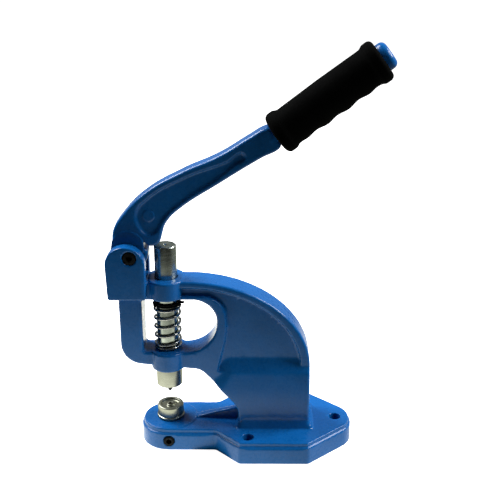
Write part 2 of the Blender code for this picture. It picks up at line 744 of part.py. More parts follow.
def make_ram_circlip():
    """An open snap ring in the ram's groove, with an eye at each of its ends."""
    low = SPRING_TOP + 0.0014 + FIT_GAP
    high = low + 0.0010
    clip = ring("ram_circlip", RAM_RADIUS - 0.0009 + FIT_GAP, 0.0122, low, high,
                Matrix.Identity(4), BLACK_OXIDE, 36)
    gap_angle = math.radians(-22.0)
    turn = Matrix.Rotation(gap_angle, 4, "Z")
    for number, spread in enumerate((-0.0030, 0.0030)):
        eye = cylinder("circlip_eye_%d" % (number + 1), 0.0023, low, high,
                       turn @ Matrix.Translation((0.0138, spread, 0.0)), sides=16)
        combine(clip, eye, "UNION")
    for number, spread in enumerate((-0.0030, 0.0030)):
        hole = cylinder("circlip_hole_%d" % (number + 1), 0.0009, low - 0.002, high + 0.002,
                        turn @ Matrix.Translation((0.0140, spread, 0.0)), sides=10)
        combine(clip, hole, "DIFFERENCE")
    gap = cylinder("circlip_gap", 0.0011, low - 0.002, high + 0.002, FLAT, sides=4)
    gap.matrix_world = turn @ Matrix.Translation((0.0120, 0.0, (low + high) / 2.0))
    gap.scale = (4.0, 1.0, 1.0)
    combine(clip, gap, "DIFFERENCE")
    return clip


def make_spring_washer():
    return ring("spring_top_washer", RAM_RADIUS + FIT_GAP, 0.0131, SPRING_TOP + FIT_GAP,
                SPRING_TOP + 0.0012, Matrix.Identity(4), BLACK_OXIDE, 36)


def make_upper_die():
    """The upper setting die: a body, a threaded stub inside the ram and a hole for its pilot."""
    low, high = UPPER_DIE_HEIGHTS
    profile = [
        (0.0, high + 0.0120),
        (0.0034, high + 0.0120),
        (0.0040, high + 0.0114),
        (0.0040, high),
        (UPPER_DIE_RADIUS - 0.0006, high),
        (UPPER_DIE_RADIUS, high - 0.0006),
        (UPPER_DIE_RADIUS, low + 0.0022),
        (UPPER_DIE_RADIUS - 0.0014, low),
        (0.0056, low),
        (0.0048, low + 0.0015),
        (PILOT_RADIUS + FIT_GAP, low + 0.0018),
        (PILOT_RADIUS + FIT_GAP, low + 0.0130),
        (0.0, low + 0.0142),
    ]
    return turned("upper_die", profile, Matrix.Identity(4), DIE_NICKEL, PRESS, 36)


def make_upper_die_pilot():
    """The pilot pin that centres the eyelet, pressed into the upper die."""
    top = UPPER_DIE_HEIGHTS[0] + 0.0120
    profile = [
        (0.0, top),
        (PILOT_RADIUS, top),
        (PILOT_RADIUS, PILOT_TIP + 0.0022),
        (0.0010, PILOT_TIP),
        (0.0, PILOT_TIP),
    ]
    return turned("upper_die_pilot", profile, Matrix.Identity(4), BLACK_OXIDE, PRESS, 20)


def make_lower_die():
    """The lower setting die: a stem in the base, a foot flange and a cup round a hollow boss."""
    seat = NOSE_PAD_HEIGHT + FIT_GAP
    top = LOWER_DIE_TOP
    profile = [
        (0.0, top - 0.0110),
        (PILOT_RADIUS + 0.0005, top - 0.0100),
        (PILOT_RADIUS + 0.0005, top - 0.0006),
        (0.0040, top - 0.0006),
        (0.0045, top - 0.0012),
        (0.0047, top - 0.0034),
        (0.0082, top - 0.0034),
        (0.0092, top - 0.0024),
        (0.0096, top),
        (LOWER_DIE_RADIUS - 0.0008, top),
        (LOWER_DIE_RADIUS, top - 0.0008),
        (LOWER_DIE_RADIUS, seat + 0.0034),
        (LOWER_DIE_RADIUS - 0.0006, seat + 0.0028),
        (LOWER_DIE_FLANGE_RADIUS, seat + 0.0022),
        (LOWER_DIE_FLANGE_RADIUS, seat + 0.0004),
        (LOWER_DIE_FLANGE_RADIUS - 0.0004, seat),
        (DIE_STEM_RADIUS, seat),
        (DIE_STEM_RADIUS, DIE_SOCKET_BOTTOM + 0.0010),
        (DIE_STEM_RADIUS - 0.0007, DIE_SOCKET_BOTTOM + FIT_GAP),
        (0.0, DIE_SOCKET_BOTTOM + FIT_GAP),
    ]
    return turned("lower_die", profile, Matrix.Identity(4), DIE_NICKEL, PRESS, 36)


def make_set_screw():
    """The socket set screw that bears on the lower die's stem from the near side."""
    axis = Matrix.Translation((0.0, 0.0, SET_SCREW_HEIGHT)) @ SIDE_ON
    outer = NOSE_RADIUS + 0.0010
    inner = DIE_STEM_RADIUS + FIT_GAP
    profile = [
        (0.0, outer),
        (SET_SCREW_RADIUS - 0.0007, outer),
        (SET_SCREW_RADIUS, outer - 0.0007),
        (SET_SCREW_RADIUS, inner + 0.0016),
        (0.0034, inner),
        (0.0, inner),
    ]
    screw = turned("lower_die_set_screw", profile, axis, BLACK_OXIDE, PRESS, 28)
    socket = cylinder("set_screw_socket", 0.0029, outer - 0.0050, outer + 0.002, axis, sides=6)
    combine(screw, socket, "DIFFERENCE")
    return screw


# ---- assembly -----------------------------------------------------------------------------
def joint_empty(name, location):
    empty = bpy.data.objects.new(name, None)
    empty.location = location
    empty.empty_display_size = 0.02
    PRESS.objects.link(empty)
    return empty


def parent_to(empty, names):
    bpy.context.view_layer.update()
    for name in names:
        obj = bpy.data.objects[name]
        world = obj.matrix_world.copy()
        obj.parent = empty
        obj.matrix_parent_inverse = empty.matrix_world.inverted()
        obj.matrix_world = world


def main():
    shade_smooth(make_frame_casting())
    shade_smooth(make_lever_casting())
    make_handle_grip()
    make_pivot_bolt()
    make_pivot_nut()
    make_lock_washer()
    make_pivot_washers()
    make_ram()
    make_spring()
    make_spring_washer()
    make_ram_circlip()
    make_upper_die()
    make_upper_die_pilot()
    make_lower_die()
    make_set_screw()
    parent_to(joint_empty("lever_pivot", PIVOT), ["lever_casting", "handle_grip"])
    parent_to(joint_empty("ram_axis", (0.0, 0.0, RAM_TOP)),
              ["ram", "ram_circlip", "spring_top_washer", "upper_die", "upper_die_pilot"])


main()
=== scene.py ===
"""Looks of the hand lever press: fine castings, turned parts, foam grip, finishes, light, camera.

The castings are modelled as signed distances on a fine grid, so that their edges are rounded
and their corners are filleted as in cast iron.  Turned parts are profiles spun round an axis.
"""
import json
import math

import bmesh
import bpy
import numpy as np
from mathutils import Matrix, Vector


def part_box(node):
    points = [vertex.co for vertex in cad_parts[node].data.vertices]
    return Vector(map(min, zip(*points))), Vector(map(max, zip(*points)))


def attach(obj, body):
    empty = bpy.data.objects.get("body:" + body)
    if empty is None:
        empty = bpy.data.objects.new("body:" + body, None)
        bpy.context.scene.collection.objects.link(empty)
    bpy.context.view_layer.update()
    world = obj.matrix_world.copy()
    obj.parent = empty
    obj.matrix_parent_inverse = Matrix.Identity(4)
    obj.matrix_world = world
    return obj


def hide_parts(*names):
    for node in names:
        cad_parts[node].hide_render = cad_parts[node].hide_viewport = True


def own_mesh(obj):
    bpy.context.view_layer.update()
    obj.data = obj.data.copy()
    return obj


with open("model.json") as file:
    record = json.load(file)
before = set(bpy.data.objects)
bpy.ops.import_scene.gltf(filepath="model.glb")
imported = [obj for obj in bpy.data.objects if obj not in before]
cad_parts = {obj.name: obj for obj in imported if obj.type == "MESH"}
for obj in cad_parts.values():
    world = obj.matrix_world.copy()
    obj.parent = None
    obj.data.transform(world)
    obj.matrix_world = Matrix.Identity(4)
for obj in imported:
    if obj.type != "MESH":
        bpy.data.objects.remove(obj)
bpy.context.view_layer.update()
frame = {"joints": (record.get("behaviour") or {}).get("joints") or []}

import openvdb
from mathutils import Matrix, Vector

JOINTS = {joint["name"]: joint for joint in frame["joints"]}
PIVOT = Vector(JOINTS["lever_hinge"]["pos_m"])

FRAME_LOW, FRAME_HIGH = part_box("frame_casting")
LEVER_LOW, LEVER_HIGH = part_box("lever_casting")
RAM_LOW, RAM_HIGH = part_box("ram")
SPRING_LOW, SPRING_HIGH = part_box("return_spring")
BOLT_LOW, BOLT_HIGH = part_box("pivot_bolt")
NUT_LOW, NUT_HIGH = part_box("pivot_nut")
CLIP_LOW, CLIP_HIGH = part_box("ram_circlip")
SCREW_LOW, SCREW_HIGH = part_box("lower_die_set_screw")
UPPER_DIE_LOW, UPPER_DIE_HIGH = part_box("upper_die")
PILOT_LOW, PILOT_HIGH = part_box("upper_die_pilot")
LOWER_DIE_LOW, LOWER_DIE_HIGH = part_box("lower_die")
SCREW_HEIGHT = (SCREW_LOW.z + SCREW_HIGH.z) / 2.0

# ---- sizes, in metres -----------------------------------------------------------------------
NOSE_RADIUS = 0.0275
BASE_HALF_WIDTH = FRAME_HIGH.y
BASE_REAR_X = FRAME_HIGH.x
BASE_HEIGHT = 0.0207
LEDGE_HEIGHT = 0.0172
PLATEAU_INSET = 0.0018
NOSE_PAD_RADIUS = 0.0252
NOSE_PAD_HEIGHT = 0.0214
BOLT_HOLE_RADIUS = 0.00525
BOLT_HOLES = ((0.1563, 0.0), (0.0739, 0.0373), (0.0739, -0.0373))

COLUMN_FRONT_X = 0.0668
COLUMN_BACK_X = 0.131
ARCH_CENTRE = (0.020, 0.080)
ARCH_RADII = (0.111, 0.0845)
PANEL_ARCH_RADII = (0.1015, 0.0775)
RIM_HALF_THICKNESS = 0.014
WEB_HALF_THICKNESS = 0.0098
# The thick lower block of the column, as half thicknesses and heights.
BLOCK_CREST = (0.0088, 0.0885)
BLOCK_SHOULDER = (0.0168, 0.0755)
BLOCK_WAIST = (0.020, 0.053)
BLOCK_FOOT = (0.022, 0.0)
FRONT_LEG_X = -0.0423
RIM_EDGE = 0.0024
FOOT_FILLET = 0.0020
BASE_FILLET = 0.0012

BOSS_HALF_WIDTH = 0.0155
BOSS_HALF_LENGTH = 0.0212
LOWER_BOSS_HEIGHTS = (0.0775, 0.0950)
UPPER_BOSS_HEIGHTS = (0.1480, 0.1652)
BOSS_EDGE = 0.0013
BOSS_FILLET = 0.0010
SPOT_FACE_RADIUS = 0.0140
RAM_BORE_RADIUS = 0.0103
DIE_SOCKET_RADIUS = 0.0053
DIE_SOCKET_BOTTOM = 0.005
SCREW_HOLE_RADIUS = 0.0053
MACHINED_EDGE = 0.0004

FORK_X = (-0.0520, -0.0158)
FORK_HALF_WIDTH = 0.022
FORK_HEIGHTS = (0.150, 0.200)
FORK_SLOT_HALF_WIDTH = 0.0108
FORK_SLOT_FLOOR = 0.1652
FORK_EDGE = 0.0014
PIVOT_BORE_RADIUS = 0.0043
COUNTERBORE_RADIUS = 0.0064
COUNTERBORE_DEPTH = 0.0062
HEXAGON_ACROSS_CORNERS = 0.0058

LEVER_HALF_THICKNESS = 0.0089
PANEL_FLOOR_HALF_THICKNESS = 0.0066
HUB_PAD_HALF_THICKNESS = 0.0094
HUB_PAD_RADIUS = 0.0145
HUB_PAD_CENTRE = (-0.0320, 0.1965)
MARK_PAD_CENTRE = (-0.0126, 0.2245)
MARK_PAD_RADIUS = 0.0052
CAM_NOSE_CENTRE = (-0.0118, 0.2066)
CAM_NOSE_RADIUS = 0.0104
HANDLE_START = Vector((0.0982, 0.0, 0.2945))
HANDLE_ANGLE = math.radians(36.7)
HANDLE_ROD_RADIUS = 0.0124
HANDLE_ROD_LENGTH = 0.1163
GRIP_LENGTH = 0.1080
GRIP_RADIUS = 0.0174
GRIP_FLANGE_RADIUS = 0.0190
FINGER_WAVE_LENGTH = 0.0212
FINGER_WAVE_START = 0.0410
FINGER_WAVE_DEPTH = 0.00075

SPRING_WIRE_RADIUS = 0.0012
SPRING_COIL_RADIUS = 0.0116
SPRING_TOTAL_TURNS = 6.0
SPRING_CLOSED_TURNS = 1.0

CIRCLIP_OUTER_RADIUS = 0.0122
CIRCLIP_EYE_RADIUS = 0.0022
CIRCLIP_HOLE_RADIUS = 0.0009
CIRCLIP_EYES = (-0.0030, 0.0030)

WASHER_ROUNDING = 0.00025
STAMPING_STEP = 0.00014

# What is turned round Z is laid along -Y by these.
SIDE_ON = Matrix.Rotation(math.radians(90.0), 4, "X")
AT_PIVOT = Matrix.Translation(PIVOT) @ SIDE_ON

# ---- light ----------------------------------------------------------------------------------
BACKDROP_LIGHT = 0.29
ROOM_LIGHT = 0.04
KEY_POWER = 38.0
SOFTBOX_SIZE = (0.9, 0.7)
SOFTBOX_DISTANCE = 1.5
# The floor's glow is painted light: a pool of light on the floor that lights the object from below.
PAPER_GLOW = 2.45
PAPER = (1.0, 1.0, 0.88)
PAPER_REACH = 0.50
PAPER_MIDDLE_X = -0.05
# The ellipse of the painted shadow that puts the floor's glow out under the base.
FOOTPRINT_CENTRE_X = 0.085
FOOTPRINT_RADII = (0.082, 0.046)
WHITE_GLOW = 0.93
WHITE = (1.0, 1.0, 1.0)


# ---- outlines -------------------------------------------------------------------------------
def rounded_outline(corners, step=math.radians(5.0), closed=True):
    """Points of an outline whose corners (x, y, radius) are rounded by arcs."""
    points = []
    count = len(corners)
    for index, (x, y, radius) in enumerate(corners):
        corner = Vector((x, y))
        is_end = not closed and index in (0, count - 1)
        if radius <= 0.0 or is_end:
            points.append(corner)
            continue
        before = (Vector(corners[index - 1][:2]) - corner).normalized()
        after = (Vector(corners[(index + 1) % count][:2]) - corner).normalized()
        half_angle = math.acos(max(-1.0, min(1.0, before.dot(after)))) / 2.0
        centre = corner + (before + after).normalized() * radius / math.sin(half_angle)
        start = corner + before * radius / math.tan(half_angle) - centre
        sweep = math.pi - 2.0 * half_angle
        if before.x * after.y - before.y * after.x > 0.0:
            sweep = -sweep
        steps = max(2, round(abs(sweep) / step))
        for number in range(steps + 1):
            turn = Matrix.Rotation(sweep * number / steps, 2)
            points.append(centre + turn @ start)
    return points


def ellipse_arc(centre, radii, start, end, steps):
    """Corners without rounding on an ellipse between two angles, in degrees."""
    angles = [math.radians(start + (end - start) * number / steps) for number in range(steps + 1)]
    return [(centre[0] + radii[0] * math.cos(angle), centre[1] + radii[1] * math.sin(angle), 0.0)
            for angle in angles]


def evaluated_mesh(obj):
    """A new mesh of an object as its curve or its modifiers make it."""
    bpy.context.view_layer.update()
    depsgraph = bpy.context.evaluated_depsgraph_get()
    return bpy.data.meshes.new_from_object(obj.evaluated_get(depsgraph))


def smooth_outline(points):
    """Points along a closed smooth curve through the given ones."""
    curve = bpy.data.curves.new("outline", "CURVE")
    curve.dimensions = "2D"
    curve.fill_mode = "NONE"
    curve.resolution_u = 10
    spline = curve.splines.new("BEZIER")
    spline.bezier_points.add(len(points) - 1)
    for slot, point in zip(spline.bezier_points, points):
        slot.co = (point[0], point[1], 0.0)
        slot.handle_left_type = "AUTO"
        slot.handle_right_type = "AUTO"
    spline.use_cyclic_u = True
    obj = bpy.data.objects.new("outline", curve)
    bpy.context.scene.collection.objects.link(obj)
    mesh = evaluated_mesh(obj)
    outline = [(vertex.co.x, vertex.co.y) for vertex in mesh.vertices]
    bpy.data.objects.remove(obj)
    bpy.data.curves.remove(curve)
    bpy.data.meshes.remove(mesh)
    return outline


# ---- shapes as signed distances -------------------------------------------------------------
class Block:
    """A regular grid of points over a box.  Every shape on it is a signed distance, in metres,
    negative inside."""

    def __init__(self, low, high, step):
        self.step = step
        margin = 3
        self.start = [(math.floor(low[axis] / step) - margin + 0.5) * step for axis in range(3)]
        counts = [math.ceil((high[axis] - self.start[axis]) / step) + margin for axis in range(3)]
        lines = [(self.start[axis] + step * np.arange(counts[axis])).astype(np.float32)
                 for axis in range(3)]
        self.x = lines[0][:, None, None]
        self.y = lines[1][None, :, None]
        self.z = lines[2][None, None, :]


def length(a, b):
    return np.sqrt(a * a + b * b)


def outline_distance(points, u, v):
    """Signed distance in a plane to a closed outline."""
    points = [(float(point[0]), float(point[1])) for point in points]
    nearest = np.full(np.broadcast(u, v).shape, 1e6, np.float32)
    inside = np.zeros(nearest.shape, bool)
    for (ax, ay), (bx, by) in zip(points, points[1:] + points[:1]):
        ex, ey = bx - ax, by - ay
        size = ex * ex + ey * ey
        if size < 1e-14:
            continue
        along = np.clip(((u - ax) * ex + (v - ay) * ey) / size, 0.0, 1.0)
        nearest = np.minimum(nearest, (u - ax - along * ex) ** 2 + (v - ay - along * ey) ** 2)
        if abs(ey) > 1e-12:
            inside ^= ((ay > v) != (by > v)) & (u < ax + (v - ay) * ex / ey)
    return np.where(inside, -1.0, 1.0).astype(np.float32) * np.sqrt(nearest)


def both(a, b, radius=0.0):
    """What two shapes share, with the edge between them rounded."""
    if radius == 0.0:
        return np.maximum(a, b)
    a, b = np.broadcast_arrays(a, b)
    corner = length(np.maximum(a + radius, 0.0), np.maximum(b + radius, 0.0))
    return np.minimum(np.maximum(a, b), -radius) + corner


def either(a, b, radius=0.0):
    """Two shapes joined, with a fillet between them."""
    return -both(-a, -b, radius)


def without(a, b, radius=0.0):
    """The first shape with the second cut away, and the edge of the cut rounded."""
    return both(a, -b, radius)


def between(values, low, high):
    """Distance outside the slab between two parallel planes."""
    return np.abs(values - (low + high) / 2.0) - (high - low) / 2.0


def slope(across, up, lower, upper):
    """Distance outside the sloping plane through two (across, up) points."""
    run, rise = upper[0] - lower[0], upper[1] - lower[1]
    size = math.hypot(run, rise)
    return ((across - lower[0]) * rise - (up - lower[1]) * run) / size


def casting_waves(block, depth):
    """The slight unevenness of a sand-cast surface: it only ever lowers the surface."""
    waves = 0.0
    for number, wavelength in enumerate((0.031, 0.023, 0.017, 0.0125)):
        turn = 1.3 * number + 0.4
        tilt = 0.9 * number + 0.7
        direction = (math.cos(turn) * math.sin(tilt), math.sin(turn) * math.sin(tilt), math.cos(tilt))
        rate = math.tau / wavelength
        phase = rate * (block.x * direction[0] + block.y * direction[1] + block.z * direction[2])
        bend = 1.7 * np.sin(rate * 0.61 * (block.z * direction[0] - block.x * direction[2]))
        waves = waves + np.sin(phase + bend + number)
    return depth * (1.0 + waves / 4.0)


def sample(field, places):
    """A grid's values between its points, at places counted in grid steps."""
    limit = np.array(field.shape) - 2
    cell = np.clip(np.floor(places).astype(int), 0, limit)
    part = places - cell
    total = 0.0
    for corner in range(8):
        offset = np.array((corner & 1, corner >> 1 & 1, corner >> 2 & 1))
        weight = np.prod(np.where(offset, part, 1.0 - part), axis=1)
        x, y, z = (cell + offset).T
        total = total + weight * field[x, y, z]
    return total


def mesh_of(name, field, block, adaptivity=0.0):
    """The surface of a shape as a mesh object, shaded by the shape's own slope."""
    band = np.clip(field / block.step, -3.0, 3.0).astype(np.float32)
    volume = openvdb.FloatGrid(3.0)
    volume.copyFromArray(band)
    points, triangles, quads = volume.convertToPolygons(isovalue=0.0, adaptivity=adaptivity)
    normals = np.zeros(points.shape)
    for axis in range(3):
        reach = np.zeros(3)
        reach[axis] = 0.5
        normals[:, axis] = sample(band, points + reach) - sample(band, points - reach)
    normals /= np.maximum(np.linalg.norm(normals, axis=1, keepdims=True), 1e-9)
    mesh = bpy.data.meshes.new(name)
    places = points * block.step + np.array(block.start)
    mesh.from_pydata(places.tolist(), [], triangles.tolist() + quads.tolist())
    mesh.shade_smooth()
    mesh.normals_split_custom_set_from_vertices(normals.tolist())
    return new_object(name, mesh)


def new_object(name, mesh):
    obj = bpy.data.objects.new(name, mesh)
    bpy.context.scene.collection.objects.link(obj)
    return obj


# ---- materials ------------------------------------------------------------------------------
class Nodes:
    """A node tree that is built up node by node."""

    def __init__(self, tree):
        self.tree = tree

    def add(self, kind, inputs=(), **settings):
        """A new node.  Each of its inputs is given a value, or the output of another node."""
        node = self.tree.nodes.new(kind)
        for setting, value in settings.items():
            setattr(node, setting, value)
        for socket, value in dict(inputs).items():
            if isinstance(value, bpy.types.NodeSocket):
                self.link(value, node.inputs[socket])
            else:
                node.inputs[socket].default_value = value
        return node

    def link(self, output, target):
        self.tree.links.new(output, target)

    def spread(self, value, low, high, start=0.0, end=1.0, interpolation="LINEAR"):
        """A value between start and end, mapped to between low and high."""
        inputs = {"Value": value, "From Min": start, "From Max": end, "To Min": low, "To Max": high}
        node = self.add("ShaderNodeMapRange", inputs, interpolation_type=interpolation)
        return node.outputs["Result"]

    def split_by_ray(self, seen, met, surface):
        """Shows one shader to the camera's own rays, and another to all the rest."""
        is_seen = self.add("ShaderNodeLightPath").outputs["Is Camera Ray"]
        choice = self.add("ShaderNodeMixShader", {"Fac": is_seen, 1: met, 2: seen})
        self.link(choice.outputs["Shader"], surface)


class Finish(Nodes):
    """A Principled material with the object's coordinates at hand."""

    def __init__(self, name, roughness, metallic=0.0):
        self.material = bpy.data.materials.new(name)
        self.material.use_nodes = True
        super().__init__(self.material.node_tree)
        self.shader = self.tree.nodes["Principled BSDF"]
        self.fixed("Roughness", roughness)
        self.fixed("Metallic", metallic)
        self.place = self.add("ShaderNodeTexCoord").outputs["Object"]

    def fixed(self, socket, value):
        """Sets a value of the shader that is the same all over."""
        self.shader.inputs[socket].default_value = value

    def stretched(self, scale, shift=(0.0, 0.0, 0.0)):
        """The object's coordinates, stretched by three factors and then shifted."""
        inputs = {"Vector": self.place, "Scale": scale, "Location": shift}
        return self.add("ShaderNodeMapping", inputs).outputs["Vector"]

    def distance(self, vector):
        """How long a vector is."""
        return self.add("ShaderNodeVectorMath", {0: vector}, operation="LENGTH").outputs["Value"]

    def noise(self, scale, detail=3.0, roughness=0.55, vector=None):
        inputs = {"Vector": vector or self.place, "Scale": scale, "Detail": detail,
                  "Roughness": roughness}
        return self.add("ShaderNodeTexNoise", inputs).outputs["Fac"]

    def cells(self, scale):
        inputs = {"Vector": self.place, "Scale": scale}
        return self.add("ShaderNodeTexVoronoi", inputs, feature="F1").outputs["Distance"]

    def ramp(self, value, stops):
        """A value turned into a colour by stops of (position, colour)."""
        node = self.add("ShaderNodeValToRGB", {"Fac": value})
        elements = node.color_ramp.elements
        while len(elements) < len(stops):
            elements.new(0.5)
        for element, (position, colour) in zip(elements, stops):
            element.position = position
            element.color = (*colour, 1.0)
        return node.outputs["Color"]

    def mixed(self, factor, colour_a, colour_b, blend="MIX"):
        inputs = {"Factor": factor, "A": colour_a, "B": colour_b}
        return self.add("ShaderNodeMix", inputs, data_type="RGBA", blend_type=blend).outputs["Result"]

    def bump(self, layers):
        """Bumps stacked from (height, strength, distance in metres)."""
        inputs = {}
        for height, strength, distance in layers:
            inputs.update({"Strength": strength, "Distance": distance, "Height": height})
            inputs["Normal"] = self.add("ShaderNodeBump", inputs).outputs["Normal"]
        self.link(inputs["Normal"], self.shader.inputs["Normal"])

    def colour(self, output):
        self.link(output, self.shader.inputs["Base Color"])

    def roughness(self, output):
        self.link(output, self.shader.inputs["Roughness"])


def faded(colour, share):
    return tuple(share * part for part in colour)


def blue_enamel():
    """Glossy oven enamel over sand-cast iron."""
    finish = Finish("blue_enamel", 0.3)
    broad = finish.noise(38.0, 3.0)
    blue = finish.ramp(broad, ((0.30, (0.002, 0.078, 0.270)), (0.72, (0.004, 0.097, 0.330))))
    specks = finish.spread(finish.noise(1500.0, 2.0), 0.0, 0.35, 0.60, 0.74)
    finish.colour(finish.mixed(specks, blue, (0.020, 0.150, 0.440, 1.0)))
    finish.roughness(finish.spread(finish.noise(260.0, 4.0), 0.20, 0.38, 0.3, 0.7))
    finish.fixed("Specular IOR Level", 0.12)
    finish.fixed("Coat Weight", 0.24)
    finish.fixed("Coat Roughness", 0.14)
    finish.bump([
        (finish.noise(1100.0, 2.0), 0.35, 0.00012),
        (finish.noise(320.0, 2.0), 0.30, 0.00025),
        (finish.noise(2600.0, 2.0), 0.20, 0.00005),
    ])
    return finish.material


def turned_steel():
    """Ground steel with fine marks round its axis."""
    finish = Finish("ground_steel", 0.2, 1.0)
    rings = finish.noise(1.0, 3.0, 0.6, finish.stretched((60.0, 60.0, 5200.0)))
    stains = finish.noise(130.0, 4.0)
    finish.colour(finish.ramp(stains, ((0.30, (0.34, 0.38, 0.34)), (0.70, (0.50, 0.55, 0.49)))))
    finish.fixed("Specular Tint", (0.45, 0.48, 0.48, 1.0))
    finish.roughness(finish.spread(rings, 0.14, 0.34, 0.3, 0.7))
    finish.bump([(rings, 0.10, 0.00002), (finish.noise(500.0, 3.0), 0.05, 0.00004)])
    return finish.material


def spring_wire():
    """Bright drawn wire with a trace of oil."""
    finish = Finish("spring_wire", 0.18, 1.0)
    marks = finish.noise(900.0, 3.0)
    finish.colour(finish.ramp(marks, ((0.35, (0.30, 0.31, 0.30)), (0.65, (0.52, 0.53, 0.51)))))
    finish.fixed("Specular Tint", (0.40, 0.42, 0.42, 1.0))
    finish.roughness(finish.spread(marks, 0.12, 0.30, 0.3, 0.7))
    finish.bump([(marks, 0.08, 0.00003)])
    return finish.material


def warm_nickel(name, colour):
    """Nickel plate, slightly yellow, with faint turning rings under it."""
    finish = Finish(name, 0.2, 1.0)
    rings = finish.noise(1.0, 3.0, 0.6, finish.stretched((50.0, 50.0, 3800.0)))
    haze = finish.noise(170.0, 4.0)
    finish.colour(finish.ramp(haze, ((0.30, faded(colour, 0.82)), (0.72, colour))))
    finish.fixed("Specular Tint", (0.60, 0.60, 0.55, 1.0))
    finish.roughness(finish.spread(rings, 0.22, 0.40, 0.3, 0.7))
    finish.bump([(rings, 0.10, 0.00002), (finish.noise(700.0, 2.0), 0.05, 0.00003)])
    return finish.material


def black_oxide():
    """Blackened screw steel with rubbed patches."""
    finish = Finish("black_oxide", 0.4, 0.9)
    rub = finish.noise(420.0, 4.0)
    finish.colour(finish.ramp(rub, ((0.35, (0.004, 0.0045, 0.005)), (0.75, (0.022, 0.023, 0.024)))))
    finish.fixed("Specular Tint", (0.25, 0.26, 0.28, 1.0))
    finish.roughness(finish.spread(finish.noise(900.0, 3.0), 0.28, 0.55, 0.3, 0.7))
    finish.bump([(finish.noise(1600.0, 3.0), 0.15, 0.00004)])
    return finish.material


def zinc_plate():
    """Dull bright zinc on stamped washers."""
    finish = Finish("zinc_plate", 0.35, 1.0)
    crystals = finish.cells(900.0)
    finish.colour(finish.ramp(crystals, ((0.10, (0.46, 0.48, 0.50)), (0.70, (0.66, 0.68, 0.70)))))
    finish.roughness(finish.spread(finish.noise(600.0, 3.0), 0.26, 0.46, 0.3, 0.7))
    finish.bump([(finish.noise(1200.0, 3.0), 0.12, 0.00004)])
    return finish.material


def black_foam():
    """Closed-cell foam: fine pores, dull, with a grey bloom where hands rub it."""
    finish = Finish("black_foam", 0.85)
    bloom = finish.noise(60.0, 4.0)
    finish.colour(finish.ramp(bloom, ((0.30, (0.0008, 0.0009, 0.0009)), (0.75, (0.0022, 0.0024, 0.0023)))))
    finish.roughness(finish.spread(finish.noise(900.0, 3.0), 0.74, 0.95, 0.3, 0.7))
    finish.fixed("Specular IOR Level", 0.010)
    finish.fixed("Sheen Weight", 0.004)
    finish.fixed("Sheen Roughness", 0.5)
    finish.bump([(finish.cells(1700.0), 0.45, 0.00018), (finish.noise(420.0, 3.0), 0.20, 0.00020)])
    return finish.material


ENAMEL = blue_enamel()
STEEL = turned_steel()
WIRE = spring_wire()
NICKEL = warm_nickel("warm_nickel", (0.29, 0.30, 0.25))
WORN_NICKEL = warm_nickel("worn_nickel", (0.30, 0.31, 0.25))
OXIDE = black_oxide()
ZINC = zinc_plate()
FOAM = black_foam()


def fit_out(piece, body, node, material):
    """Gives a piece its finish and its body, and hides the CAD node that it stands for."""
    piece.data.materials.clear()
    piece.data.materials.append(material)
    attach(piece, body)
    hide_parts(node)


# ---- frame casting --------------------------------------------------------------------------
def base_outline():
    half = [
        (-NOSE_RADIUS, -NOSE_RADIUS, NOSE_RADIUS - 0.0001),
        (0.0438, -NOSE_RADIUS, 0.006),
        (0.0660, -BASE_HALF_WIDTH, 0.004),
        (0.1293, -BASE_HALF_WIDTH, 0.005),
        (BASE_REAR_X, -0.0126, 0.025),
    ]
    return rounded_outline(half + [(x, -y, radius) for x, y, radius in reversed(half)])


def side_outline():
    """The side view of the C-frame, without its window, in x and z."""
    return rounded_outline([
        (FRONT_LEG_X, 0.0842, 0.020),
        (0.0300, 0.0770, 0.013),
        (0.0640, 0.0418, 0.020),
        (COLUMN_FRONT_X, 0.010, 0.0),
        (COLUMN_BACK_X, 0.010, 0.0),
        *ellipse_arc(ARCH_CENTRE, ARCH_RADII, 0.0, 90.0, 48),
        (FRONT_LEG_X, ARCH_CENTRE[1] + ARCH_RADII[1], 0.001),
    ])


def window_outline():
    return rounded_outline([
        (-0.0215, 0.0950, 0.003),
        (0.0460, 0.0942, 0.0300),
        (0.0457, 0.1468, 0.0218),
        (-0.0215, 0.1468, 0.003),
    ])


def panel_outline():
    return rounded_outline([
        (0.0100, 0.1514, 0.0),
        (0.0420, 0.1512, 0.019),
        (0.0540, 0.1400, 0.019),
        (0.0555, 0.1200, 0.010),
        (0.0535, 0.1050, 0.008),
        (0.0470, 0.0770, 0.001),
        (ARCH_CENTRE[0] + PANEL_ARCH_RADII[0] - 0.0006, 0.0770, 0.001),
        *ellipse_arc(ARCH_CENTRE, PANEL_ARCH_RADII, 5.0, 91.0, 32),
        (0.0100, ARCH_CENTRE[1] + PANEL_ARCH_RADII[1], 0.0),
    ])


def fork_outline():
    arc = (FORK_X[1] - FORK_X[0]) / 2.0 - 0.0007
    return rounded_outline([
        (FORK_X[0] + 0.0016, FORK_HEIGHTS[0], 0.0025),
        (FORK_X[1] - 0.0006, FORK_HEIGHTS[0], 0.0015),
        (FORK_X[1], FORK_HEIGHTS[1], arc),
        (FORK_X[0], FORK_HEIGHTS[1], arc),
    ])


def base_shape(block):
    plan = outline_distance(base_outline(), block.x, block.y) + 0.010 * block.z
    body = both(plan, block.z - LEDGE_HEIGHT, 0.0016)
    plateau = both(plan + PLATEAU_INSET, block.z - BASE_HEIGHT, 0.0007)
    pad = both(length(block.x, block.y) - NOSE_PAD_RADIUS, block.z - NOSE_PAD_HEIGHT, 0.0005)
    return either(either(body, plateau, 0.0007), pad, 0.0006)


